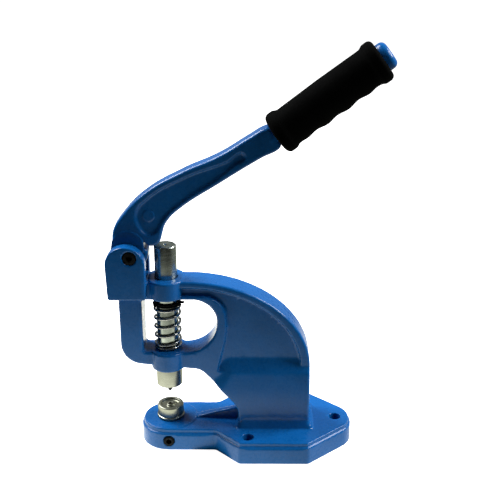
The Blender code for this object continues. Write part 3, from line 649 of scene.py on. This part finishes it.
def column_thickness(block):
    """How far outside the C-frame's thickness a point is, ignoring its side view."""
    side = np.abs(block.y)
    panel = outline_distance(panel_outline(), block.x, block.z)
    recess = both(panel - 0.35 * (side - WEB_HALF_THICKNESS), WEB_HALF_THICKNESS - side, 0.0014)
    web = without(side - RIM_HALF_THICKNESS, recess, 0.0010)
    straight = both(slope(side, block.z, BLOCK_FOOT, BLOCK_WAIST),
                    slope(side, block.z, BLOCK_WAIST, BLOCK_SHOULDER), 0.001)
    upper = both(straight, slope(side, block.z, BLOCK_SHOULDER, BLOCK_CREST), 0.0007)
    lean = math.radians(43.0)
    along = -math.sin(lean) * (block.x - 0.0520) + math.cos(lean) * (block.z - 0.0690)
    crest = (BLOCK_CREST[0], BLOCK_CREST[1] - BLOCK_SHOULDER[1])
    shoulder = (BLOCK_SHOULDER[0], 0.0)
    front = both(slope(side, along, (BLOCK_FOOT[0], -0.012), shoulder),
                 slope(side, along, shoulder, crest), 0.0007)
    return either(web, both(upper, front, 0.0008), 0.0010)


def foot_shape(block):
    """The flare where the column meets the base."""
    side = np.abs(block.y)
    middle = (COLUMN_FRONT_X + COLUMN_BACK_X) / 2.0
    half = (COLUMN_BACK_X - COLUMN_FRONT_X) / 2.0
    ends = np.abs(block.x - middle)
    flare = None
    for wall, reach in ((side, 0.0204), (ends, half - 0.0002)):
        steep = slope(wall, block.z, (reach + 0.0030, 0.0235), (reach, 0.0335))
        shallow = slope(wall, block.z, (reach + 0.0058, 0.0195), (reach + 0.0027, 0.0240))
        face = both(steep, shallow, 0.001)
        flare = face if flare is None else both(flare, face, 0.004)
    return both(flare, block.z - 0.040)


def boss_shape(block, heights):
    straight = BOSS_HALF_LENGTH - BOSS_HALF_WIDTH
    plan = length(block.x, np.maximum(np.abs(block.y) - straight, 0.0)) - BOSS_HALF_WIDTH
    return both(plan, between(block.z, *heights), BOSS_EDGE)


def rib_shape(block):
    """The low rib from the nose of the base up to the column."""
    rise = [(0.0240, 0.0180), (0.0700, 0.0180), (0.0700, 0.0318), (0.0600, 0.0306),
            (0.0445, 0.0272), (0.0240, 0.0218)]
    wall = np.abs(block.y) - 0.0030 - 0.18 * np.maximum(0.030 - block.z, 0.0)
    return both(outline_distance(rise, block.x, block.z), wall, 0.0013)


def frame_shape(block):
    side = np.abs(block.y)
    flat = outline_distance(side_outline(), block.x, block.z)
    flat = np.maximum(flat, -outline_distance(window_outline(), block.x, block.z))
    shape = both(flat, column_thickness(block), RIM_EDGE)
    shape = either(shape, foot_shape(block), FOOT_FILLET)
    shape = either(shape, base_shape(block), BASE_FILLET)
    shape = either(shape, rib_shape(block), BASE_FILLET)
    fork = both(outline_distance(fork_outline(), block.x, block.z), side - FORK_HALF_WIDTH, FORK_EDGE)
    for boss in (boss_shape(block, LOWER_BOSS_HEIGHTS), boss_shape(block, UPPER_BOSS_HEIGHTS), fork):
        shape = either(shape, boss, BOSS_FILLET)
    slot = both(side - FORK_SLOT_HALF_WIDTH, FORK_SLOT_FLOOR - block.z, 0.0008)
    slot = both(slot, block.x - FORK_X[1] - 0.012)
    shape = without(shape, slot, 0.0007)
    shape = shape + casting_waves(block, 0.00007)

    # faces and holes machined after casting
    across = length(block.x, block.y)
    window = between(block.z, LOWER_BOSS_HEIGHTS[1], UPPER_BOSS_HEIGHTS[0])
    shape = without(shape, both(across - SPOT_FACE_RADIUS, window))
    bore = both(across - RAM_BORE_RADIUS, 0.060 - block.z)
    socket = both(both(across - DIE_SOCKET_RADIUS, DIE_SOCKET_BOTTOM - block.z), block.z - 0.040)
    shape = without(without(shape, bore, 0.0005), socket, MACHINED_EDGE)
    for x, y in BOLT_HOLES:
        shape = without(shape, length(block.x - x, block.y - y) - BOLT_HOLE_RADIUS, 0.0006)
    screw_hole = both(length(block.x, block.z - SCREW_HEIGHT) - SCREW_HOLE_RADIUS, block.y + 0.002)
    shape = without(shape, screw_hole, MACHINED_EDGE)
    pivot = length(block.x - PIVOT.x, block.z - PIVOT.z)
    shape = without(shape, pivot - PIVOT_BORE_RADIUS)
    counterbore = both(pivot - COUNTERBORE_RADIUS, block.y + FORK_HALF_WIDTH - COUNTERBORE_DEPTH)
    shape = without(shape, counterbore, MACHINED_EDGE)
    return np.maximum(shape, -block.z)


def make_frame_casting():
    step = 0.00075
    block = Block(FRAME_LOW, FRAME_HIGH, step)
    piece = mesh_of("frame_casting_enamelled", frame_shape(block), block, 0.004)
    fit_out(piece, "frame", "frame_casting", ENAMEL)


# ---- lever casting --------------------------------------------------------------------------
def along_handle(distance, offset):
    """The side-view point at a distance along the handle and an offset above its axis."""
    cosine, sine = math.cos(HANDLE_ANGLE), math.sin(HANDLE_ANGLE)
    return (HANDLE_START.x + distance * cosine - offset * sine,
            HANDLE_START.z + distance * sine + offset * cosine)


def arc_points(centre, radius, angles):
    return [(centre[0] + radius * math.cos(math.radians(angle)),
             centre[1] + radius * math.sin(math.radians(angle))) for angle in angles]


def lever_outline():
    """The side view of the hub, the cam nose and the curved arm, up to the grip."""
    top_of_arm = [(-0.0456, 0.2010), (-0.0438, 0.2125), (-0.0365, 0.2241), (-0.0152, 0.2454),
                  (0.0172, 0.2641), (0.0490, 0.2783), (0.0752, 0.2943)]
    end_of_arm = [along_handle(-0.0035, 0.0119), along_handle(-0.0009, 0.0105),
                  along_handle(-0.0004, 0.0), along_handle(-0.0009, -0.0076),
                  along_handle(-0.0032, -0.0094)]
    underside = [(0.0856, 0.2762), (0.0492, 0.2535), (0.0130, 0.2293), (0.0043, 0.2204),
                 (-0.0002, 0.2116)]
    nose = arc_points(CAM_NOSE_CENTRE, CAM_NOSE_RADIUS, (0.0, -45.0, -90.0, -135.0))
    heel = arc_points((PIVOT.x, PIVOT.z), 0.0150, (5.0, -35.0, -90.0, -145.0, 175.0))
    return smooth_outline(top_of_arm + end_of_arm + underside + nose + heel)


def lever_panel():
    """The sunk teardrop on each side of the arm."""
    return smooth_outline([
        (0.0705, 0.2788), (0.0560, 0.2722), (0.0182, 0.2575), (-0.0138, 0.2385), (-0.0225, 0.2270),
        (-0.0205, 0.2150), (-0.0130, 0.2078), (-0.0072, 0.2105), (-0.0002, 0.2225), (0.0185, 0.2395),
        (0.0450, 0.2572), (0.0615, 0.2705),
    ])


def lever_shape(block):
    side = np.abs(block.y)
    arm = both(outline_distance(lever_outline(), block.x, block.z), side - LEVER_HALF_THICKNESS, 0.0028)
    panel = outline_distance(lever_panel(), block.x, block.z)
    draft = 0.6 * (side - PANEL_FLOOR_HALF_THICKNESS)
    recess = both(panel - draft, PANEL_FLOOR_HALF_THICKNESS - side, 0.0014)
    shape = without(arm, recess, 0.0012)
    mark = length(block.x - MARK_PAD_CENTRE[0], block.z - MARK_PAD_CENTRE[1]) - MARK_PAD_RADIUS
    shape = either(shape, both(mark, side - PANEL_FLOOR_HALF_THICKNESS - 0.0006, 0.0004), 0.0004)
    hub = length(block.x - HUB_PAD_CENTRE[0], block.z - HUB_PAD_CENTRE[1]) - HUB_PAD_RADIUS
    shape = either(shape, both(hub, side - HUB_PAD_HALF_THICKNESS, 0.0004), 0.0005)
    cosine, sine = math.cos(HANDLE_ANGLE), math.sin(HANDLE_ANGLE)
    along = (block.x - HANDLE_START.x) * cosine + (block.z - HANDLE_START.z) * sine
    above = (block.z - HANDLE_START.z) * cosine - (block.x - HANDLE_START.x) * sine
    rod = both(length(above, block.y) - HANDLE_ROD_RADIUS + 0.0001, along - HANDLE_ROD_LENGTH, 0.005)
    rod = both(rod, 0.0006 - along, 0.002)
    core = both(length(above, block.y) - 0.0090, np.abs(along) - 0.006)
    shape = either(either(shape, core, 0.0003), rod, 0.0003)
    shape = shape + casting_waves(block, 0.00006)
    pivot = length(block.x - PIVOT.x, block.z - PIVOT.z)
    return without(shape, pivot - PIVOT_BORE_RADIUS, 0.0003)


def make_lever_casting():
    step = 0.0006
    block = Block(LEVER_LOW, LEVER_HIGH, step)
    piece = mesh_of("lever_casting_enamelled", lever_shape(block), block, 0.003)
    fit_out(piece, "lever", "lever_casting", ENAMEL)


# ---- turned and bent parts ------------------------------------------------------------------
def shade(mesh, smooth_angle):
    mesh.shade_smooth()
    mesh.set_sharp_from_angle(angle=math.radians(smooth_angle))


def spun(radius, angle, height):
    """A point at an angle round the Z axis."""
    return Vector((radius * math.cos(angle), radius * math.sin(angle), height))


def grid_mesh(name, rows, closed_rows=False, smooth_angle=30.0):
    """A mesh over rows of points.  Each row is a closed ring, and the last row may meet the first."""
    rows = np.asarray(rows, float)
    row_count, ring_count = rows.shape[:2]
    shape = bmesh.new()
    vertices = [[shape.verts.new(point) for point in row] for row in rows]
    for index in range(row_count if closed_rows else row_count - 1):
        here, there = vertices[index], vertices[(index + 1) % row_count]
        for number in range(ring_count):
            after = (number + 1) % ring_count
            shape.faces.new((here[number], here[after], there[after], there[number]))
    if not closed_rows:
        shape.faces.new(list(reversed(vertices[0])))
        shape.faces.new(vertices[-1])
    bmesh.ops.remove_doubles(shape, verts=shape.verts, dist=1e-6)
    bmesh.ops.recalc_face_normals(shape, faces=shape.faces)
    mesh = bpy.data.meshes.new(name)
    shape.to_mesh(mesh)
    shape.free()
    shade(mesh, smooth_angle)
    return new_object(name, mesh)


def turned(name, corners, matrix=Matrix.Identity(4), steps=96):
    """A solid of revolution from corners (radius, height, rounding), from one end to the other."""
    profile = rounded_outline(corners, math.radians(18.0), closed=False)
    angles = [math.tau * number / steps for number in range(steps)]
    rows = [[matrix @ spun(max(point.x, 1e-7), angle, point.y) for angle in angles]
            for point in profile]
    return grid_mesh(name, rows)


def thread(top, radius, depth, pitch, turns):
    """Corners of plain ridges that stand in for a thread, from the top down."""
    corners = []
    for number in range(turns):
        height = top - number * pitch
        corners += [(radius, height, 0.0), (radius - depth, height - pitch / 2.0, 0.0)]
    return corners


def cut_hexagon(piece, low, high, matrix):
    """Sinks a hexagonal socket into a screw's end."""
    bpy.ops.mesh.primitive_cylinder_add(vertices=6, radius=HEXAGON_ACROSS_CORNERS / 2.0, depth=high - low)
    cutter = bpy.context.object
    cutter.matrix_world = matrix @ Matrix.Translation((0.0, 0.0, (low + high) / 2.0))
    cut = piece.modifiers.new("socket", "BOOLEAN")
    cut.operation = "DIFFERENCE"
    cut.object = cutter
    mesh = evaluated_mesh(piece)
    piece.modifiers.clear()
    piece.data = mesh
    bpy.data.objects.remove(cutter, do_unlink=True)
    shade(mesh, 30.0)


def make_ram():
    groove_low = CLIP_LOW.z - 0.0002
    groove_high = CLIP_HIGH.z + 0.0001
    radius = RAM_HIGH.x
    top, bottom = RAM_HIGH.z, RAM_LOW.z
    piece = turned("ram_turned", [
        (0.0, top - 0.0016, 0.0),
        (0.0006, top - 0.0013, 0.0),
        (0.0017, top - 0.0001, 0.0002),
        (radius - 0.0011, top, 0.0002),
        (radius, top - 0.0010, 0.0002),
        (radius, groove_high, 0.0001),
        (radius - 0.0009, groove_high, 0.0001),
        (radius - 0.0009, groove_low, 0.0001),
        (radius, groove_low, 0.0001),
        (radius, bottom, 0.0004),
        (0.0043, bottom, 0.0002),
        (0.0043, bottom + 0.0160, 0.0),
        (0.0, bottom + 0.0175, 0.0),
    ])
    fit_out(piece, "ram", "ram", STEEL)


def make_upper_die():
    low, high = UPPER_DIE_LOW.z, RAM_LOW.z - 0.0003
    radius = UPPER_DIE_HIGH.x
    piece = turned("upper_die_turned", [
        (0.0, UPPER_DIE_HIGH.z, 0.0),
        (0.0040, UPPER_DIE_HIGH.z, 0.0005),
        (0.0040, high, 0.0001),
        (radius, high, 0.0006),
        (radius, low + 0.0009, 0.0006),
        (radius - 0.0009, low, 0.0004),
        (0.0056, low, 0.0003),
        (0.0048, low + 0.0015, 0.0004),
        (0.0021, low + 0.0018, 0.0003),
        (0.0021, low + 0.0130, 0.0),
        (0.0, low + 0.0142, 0.0),
    ])
    fit_out(piece, "ram", "upper_die", NICKEL)


def make_upper_die_pilot():
    radius = PILOT_HIGH.x
    piece = turned("upper_die_pilot_turned", [
        (0.0, PILOT_HIGH.z, 0.0),
        (radius, PILOT_HIGH.z, 0.0003),
        (radius, PILOT_LOW.z + 0.0010, 0.0005),
        (0.0013, PILOT_LOW.z, 0.0004),
        (0.0, PILOT_LOW.z, 0.0),
    ], steps=48)
    fit_out(piece, "ram", "upper_die_pilot", OXIDE)


def make_lower_die():
    top, bottom = LOWER_DIE_HIGH.z, LOWER_DIE_LOW.z
    seat = NOSE_PAD_HEIGHT + 0.0003
    flange = LOWER_DIE_HIGH.x
    radius = flange - 0.0007
    piece = turned("lower_die_turned", [
        (0.0, top - 0.0110, 0.0),
        (0.0020, top - 0.0100, 0.0),
        (0.0020, top - 0.0003, 0.0003),
        (0.0036, top - 0.0003, 0.0006),
        (0.0040, top - 0.0019, 0.0006),
        (0.0084, top - 0.0019, 0.0007),
        (0.0091, top, 0.0004),
        (radius, top, 0.0010),
        (radius, seat + 0.0032, 0.0004),
        (radius - 0.0005, seat + 0.0027, 0.0004),
        (flange, seat + 0.0022, 0.0005),
        (flange, seat, 0.0006),
        (0.0050, seat, 0.0002),
        (0.0050, bottom, 0.0007),
        (0.0, bottom, 0.0),
    ])
    fit_out(piece, "frame", "lower_die", WORN_NICKEL)


def make_set_screw():
    matrix = Matrix.Translation((0.0, 0.0, SCREW_HEIGHT)) @ SIDE_ON
    outer, inner = -SCREW_LOW.y, -SCREW_HIGH.y
    radius = SCREW_HIGH.x
    corners = [(0.0, outer, 0.0), (radius - 0.0008, outer, 0.0001), (radius, outer - 0.0008, 0.0001)]
    corners += thread(outer - 0.0011, radius, depth=0.0006, pitch=0.0015, turns=14)
    corners += [(0.0034, inner, 0.0), (0.0, inner, 0.0)]
    piece = turned("lower_die_set_screw_turned", corners, matrix, 72)
    cut_hexagon(piece, outer - 0.0050, outer + 0.0020, matrix)
    fit_out(piece, "frame", "lower_die_set_screw", OXIDE)


def make_pivot_bolt():
    face, tip = -BOLT_LOW.y, -BOLT_HIGH.y
    head, shank = COUNTERBORE_RADIUS - 0.0004, 0.0040
    under = face - 0.0050
    corners = [(0.0, face, 0.0), (head, face, 0.0007), (head, under, 0.0002), (shank, under, 0.0003)]
    corners += thread(-0.0215, shank, depth=0.0005, pitch=0.0012, turns=10)
    corners += [(0.0034, tip, 0.0002), (0.0, tip, 0.0)]
    piece = turned("pivot_bolt_turned", corners, AT_PIVOT, 72)
    cut_hexagon(piece, face - 0.0030, face + 0.0020, AT_PIVOT)
    fit_out(piece, "frame", "pivot_bolt", OXIDE)


def make_washer(node, body, material):
    """A flat washer, from its CAD node's own box and the bore of the part it sits on."""
    low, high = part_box(node)
    if high.z - low.z < high.y - low.y:
        matrix, inner = Matrix.Identity(4), RAM_HIGH.x + 0.0003
        outer, bottom, top = high.x, low.z, high.z
    else:
        matrix, inner = AT_PIVOT, PIVOT_BORE_RADIUS
        outer, bottom, top = high.x - PIVOT.x, -high.y, -low.y
    corners = [(inner, top), (outer, top), (outer, bottom), (inner, bottom)]
    profile = rounded_outline([(*corner, WASHER_ROUNDING) for corner in corners], math.radians(22.0))
    angles = [math.tau * number / 96 for number in range(96)]
    rows = [[matrix @ spun(point.x, angle, point.y) for point in profile] for angle in angles]
    piece = grid_mesh(node + "_turned", rows, closed_rows=True)
    fit_out(piece, body, node, material)


def make_pivot_nut():
    """A hexagon nut with chamfered corners."""
    block = Block(NUT_LOW, NUT_HIGH, 0.00016)
    x, z = block.x - PIVOT.x, block.z - PIVOT.z
    corner_radius = NUT_HIGH.z - PIVOT.z
    flat_radius = corner_radius * math.cos(math.pi / 6.0)
    flats = np.abs(x) - flat_radius
    for angle in (math.radians(60.0), math.radians(120.0)):
        flats = both(flats, np.abs(x * math.cos(angle) + z * math.sin(angle)) - flat_radius, 0.0002)
    ends = between(block.y, NUT_LOW.y, NUT_HIGH.y)
    around = length(x, z)
    chamfer = (around - corner_radius + 0.0003 + 1.9 * (ends + 0.0006)) / math.hypot(1.0, 1.9)
    shape = both(both(flats, ends, 0.0002), chamfer, 0.0002)
    bore = around - 0.0041 - 0.0004 * np.abs(np.sin(math.pi * block.y / 0.0012))
    countersink = (around - 0.0049 - (ends + 0.0004)) * 0.7
    shape = without(without(shape, bore), countersink)
    piece = mesh_of("pivot_nut_forged", shape, block)
    fit_out(piece, "frame", "pivot_nut", OXIDE)


def make_lock_washer():
    """A split spring washer with a slanted gap."""
    low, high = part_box("pivot_lock_washer")
    block = Block(low, high, STAMPING_STEP)
    x, z = block.x - PIVOT.x, block.z - PIVOT.z
    band = between(length(x, z), PIVOT_BORE_RADIUS, high.z - PIVOT.z)
    face = between(block.y, low.y, high.y)
    gap = both(np.abs(z - 0.32 * (block.y - low.y)) - 0.00045, -x)
    shape = without(both(band, face, 0.0002), gap, 0.0001)
    piece = mesh_of("pivot_lock_washer_split", shape, block)
    fit_out(piece, "frame", "pivot_lock_washer", OXIDE)


def make_circlip():
    """An open snap ring with a drilled eye at each of its ends."""
    block = Block(CLIP_LOW, CLIP_HIGH, STAMPING_STEP)
    turn = math.radians(-22.0)
    u = block.x * math.cos(turn) + block.y * math.sin(turn)
    v = block.y * math.cos(turn) - block.x * math.sin(turn)
    flat = between(length(u, v), RAM_HIGH.x - 0.0006, CIRCLIP_OUTER_RADIUS)
    for spread in CIRCLIP_EYES:
        flat = either(flat, length(u - 0.0138, v - spread) - CIRCLIP_EYE_RADIUS, 0.0008)
    for spread in CIRCLIP_EYES:
        flat = without(flat, length(u - 0.0140, v - spread) - CIRCLIP_HOLE_RADIUS)
    flat = without(flat, both(np.abs(v) - 0.0009, -u), 0.0003)
    face = between(block.z, CLIP_LOW.z, CLIP_HIGH.z)
    piece = mesh_of("ram_circlip_stamped", both(flat, face, 0.0002), block)
    fit_out(piece, "ram", "ram_circlip", OXIDE)


def make_spring():
    """A right-handed compression spring with one closed turn at each end."""
    per_turn, around = 72, 16
    low, high = SPRING_LOW.z + SPRING_WIRE_RADIUS, SPRING_HIGH.z - SPRING_WIRE_RADIUS
    closed_rise = 2.0 * SPRING_WIRE_RADIUS + 0.0003
    open_turns = SPRING_TOTAL_TURNS - 2.0 * SPRING_CLOSED_TURNS
    open_rise = high - low - 2.0 * closed_rise * SPRING_CLOSED_TURNS
    rows = []
    for number in range(round(SPRING_TOTAL_TURNS * per_turn) + 1):
        turns = number / per_turn
        closed_low = min(turns, SPRING_CLOSED_TURNS)
        opened = min(max(turns - SPRING_CLOSED_TURNS, 0.0), open_turns)
        closed_high = max(turns - SPRING_CLOSED_TURNS - open_turns, 0.0)
        height = low + (closed_low + closed_high) * closed_rise + open_rise * opened / open_turns
        angle = math.tau * turns + math.radians(200.0)
        ring = []
        for step in range(around):
            bend = math.tau * step / around
            across = SPRING_COIL_RADIUS + SPRING_WIRE_RADIUS * math.cos(bend)
            ring.append(spun(across, angle, height + SPRING_WIRE_RADIUS * math.sin(bend)))
        rows.append(ring)
    piece = grid_mesh("return_spring_wire", rows, smooth_angle=60.0)
    fit_out(piece, "frame", "return_spring", WIRE)
    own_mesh(piece)


# ---- foam grip ------------------------------------------------------------------------------
def make_grip():
    """A foam sleeve with rolled ends and finger waves along its lower side."""
    matrix = Matrix.Translation(HANDLE_START) @ Matrix.Rotation(math.pi / 2.0 - HANDLE_ANGLE, 4, "Y")
    bore = HANDLE_ROD_RADIUS + 0.0002
    end = GRIP_LENGTH
    outline = rounded_outline([
        (bore, 0.0012, 0.0),
        (bore + 0.0014, 0.0, 0.0008),
        (GRIP_FLANGE_RADIUS, 0.0, 0.0044),
        (GRIP_FLANGE_RADIUS, 0.0088, 0.0036),
        (GRIP_RADIUS - 0.0003, 0.0122, 0.0050),
        (GRIP_RADIUS + 0.0002, end / 2.0, 0.060),
        (GRIP_RADIUS - 0.0003, end - 0.0122, 0.0050),
        (GRIP_FLANGE_RADIUS, end - 0.0088, 0.0036),
        (GRIP_FLANGE_RADIUS, end, 0.0044),
        (bore + 0.0014, end, 0.0008),
        (bore, end - 0.0012, 0.0),
    ], math.radians(12.0), closed=False)
    outline = evenly(outline, 0.0012)
    rows = []
    for number in range(160):
        angle = math.tau * number / 160
        down = max(0.0, math.cos(angle)) ** 1.5
        ring = []
        for radius, along in outline:
            # The waves fade out towards both flanges, and leave the bore alone.
            inside = min(1.0, max(0.0, (along - 0.014) / 0.010), max(0.0, (end - 0.012 - along) / 0.008))
            is_skin = radius > GRIP_RADIUS - 0.0012
            wave = math.cos(math.tau * (along - FINGER_WAVE_START) / FINGER_WAVE_LENGTH)
            wave = FINGER_WAVE_DEPTH * wave - 0.00035
            across = radius + (wave * down * inside if is_skin else 0.0)
            ring.append(matrix @ spun(across, angle, along))
        rows.append(ring)
    piece = grid_mesh("handle_grip_foam", rows, closed_rows=True, smooth_angle=50.0)
    fit_out(piece, "lever", "handle_grip", FOAM)


def evenly(points, spacing):
    """The same open line with points added, none further apart than the spacing."""
    line = [points[0]]
    for start, stop in zip(points, points[1:]):
        count = max(1, math.ceil((stop - start).length / spacing))
        line += [start.lerp(stop, number / count) for number in range(1, count + 1)]
    return line


# ---- floor, light and camera ----------------------------------------------------------------
def make_floor():
    """A pale table, seen as plain white.  To every other ray it glows as a painted pool of light,
    the light of a lit sheet of paper in front of the base: the glow fades out forwards and sideways,
    and a painted shadow puts it out where the base stands."""
    bpy.ops.mesh.primitive_plane_add(size=30.0, location=(0.0, 0.0, -0.0002))
    floor = bpy.context.object
    floor.name = "floor"
    finish = Finish("white_table_painted_glow", 0.6)
    grain = finish.noise(300.0, 3.0)
    finish.colour(finish.ramp(grain, ((0.3, (0.86, 0.86, 0.86)), (0.7, (0.90, 0.90, 0.90)))))
    finish.fixed("Emission Color", (*WHITE, 1.0))
    finish.fixed("Emission Strength", WHITE_GLOW)
    finish.bump([(grain, 0.02, 0.0001)])

    split = finish.add("ShaderNodeSeparateXYZ", {"Vector": finish.place})
    # Painted light: to every ray but the camera's, the floor glows in a pool that fades out forwards and
    # sideways.
    forward = finish.spread(split.outputs["Y"], 0.0, 1.0, 0.0, -PAPER_REACH)
    paper = finish.ramp(forward, [(stop, faded(PAPER, share)) for stop, share in (
        (0.0, 1.0), (0.26, 1.0), (0.42, 0.42), (0.72, 0.20), (1.0, 0.02))])
    off_centre = finish.distance(finish.stretched((1.0, 0.0, 0.0), (-PAPER_MIDDLE_X, 0.0, 0.0)))
    sideways = finish.ramp(off_centre, [(stop, faded(WHITE, share)) for stop, share in (
        (0.05, 1.0), (0.22, 0.50), (0.50, 0.08))])
    # Painted shadow: the glow is put out inside an ellipse where the base stands.
    length_scale, width_scale = (1.0 / radius for radius in FOOTPRINT_RADII)
    footprint = finish.distance(finish.stretched((length_scale, width_scale, 0.0),
                                                 (-FOOTPRINT_CENTRE_X * length_scale, 0.0, 0.0)))
    painted_base_shadow = finish.ramp(footprint, ((0.97, faded(WHITE, 0.0)), (1.0, WHITE)))
    for share in (sideways, painted_base_shadow):
        paper = finish.mixed(1.0, paper, share, "MULTIPLY")
    glow = finish.add("ShaderNodeEmission", {"Color": paper, "Strength": PAPER_GLOW})
    finish.split_by_ray(finish.shader.outputs["BSDF"], glow.outputs["Emission"],
                        finish.tree.nodes["Material Output"].inputs["Surface"])
    floor.data.materials.append(finish.material)


def make_world():
    """A studio that is white to look at.  The object meets a soft backdrop low behind it, and a
    dim room elsewhere."""
    world = bpy.data.worlds.new("studio")
    bpy.context.scene.world = world
    world.use_nodes = True
    nodes = Nodes(world.node_tree)
    room = world.node_tree.nodes["Background"]
    room.inputs["Color"].default_value = (0.97, 0.985, 1.0, 1.0)
    place = nodes.add("ShaderNodeTexCoord")
    split = nodes.add("ShaderNodeSeparateXYZ", {"Vector": place.outputs["Generated"]})
    behind = nodes.spread(split.outputs["Y"], 0.0, 1.0, 0.0, 0.45, "SMOOTHSTEP")
    backdrop = nodes.spread(split.outputs["Z"], BACKDROP_LIGHT, BACKDROP_LIGHT * 0.3, 0.55, 0.85,
                            "SMOOTHSTEP")
    glow = nodes.add("ShaderNodeMath", {0: behind, 1: backdrop, 2: ROOM_LIGHT}, operation="MULTIPLY_ADD")
    nodes.link(glow.outputs["Value"], room.inputs["Strength"])
    white = nodes.add("ShaderNodeBackground", {"Color": (*WHITE, 1.0)})
    nodes.split_by_ray(white.outputs["Background"], room.outputs["Background"],
                       world.node_tree.nodes["World Output"].inputs["Surface"])


def make_lights():
    """Two softboxes high at the object's sides, a little behind it."""
    centre = Vector((0.05, 0.0, 0.10))
    for name, azimuth, elevation, power in (("softbox_left", -62.0, 48.0, KEY_POWER * 1.1),
                                            ("softbox_right", 84.0, 40.0, KEY_POWER)):
        across, rise = math.radians(azimuth), math.radians(elevation)
        direction = Vector((math.sin(across) * math.cos(rise), math.cos(across) * math.cos(rise),
                            math.sin(rise)))
        softbox = bpy.data.lights.new(name, "AREA")
        softbox.shape = "RECTANGLE"
        softbox.size, softbox.size_y = SOFTBOX_SIZE
        softbox.energy = power
        light = bpy.data.objects.new(name, softbox)
        light.location = centre + SOFTBOX_DISTANCE * direction
        light.rotation_euler = (-direction).to_track_quat("-Z", "Y").to_euler()
        bpy.context.scene.collection.objects.link(light)


def make_camera():
    data = bpy.data.cameras.new("camera")
    data.lens = 63.46
    data.sensor_width = 36.0
    camera = bpy.data.objects.new("camera", data)
    camera.location = (0.0829, -0.7329, 0.4696)
    camera.rotation_euler = (math.radians(69.14), math.radians(0.04), math.radians(0.549))
    bpy.context.scene.collection.objects.link(camera)
    bpy.context.scene.camera = camera


for make_piece in (make_frame_casting, make_lever_casting, make_grip, make_ram, make_upper_die,
                   make_upper_die_pilot, make_lower_die, make_set_screw, make_pivot_bolt,
                   make_pivot_nut, make_lock_washer, make_circlip, make_spring):
    make_piece()
make_washer("spring_top_washer", "ram", OXIDE)
for washer in ("pivot_flat_washer", "thrust_washer_near", "thrust_washer_far"):
    make_washer(washer, "frame", ZINC)
make_floor()
make_world()
make_lights()
make_camera()
bpy.context.scene.view_settings.view_transform = "Standard"
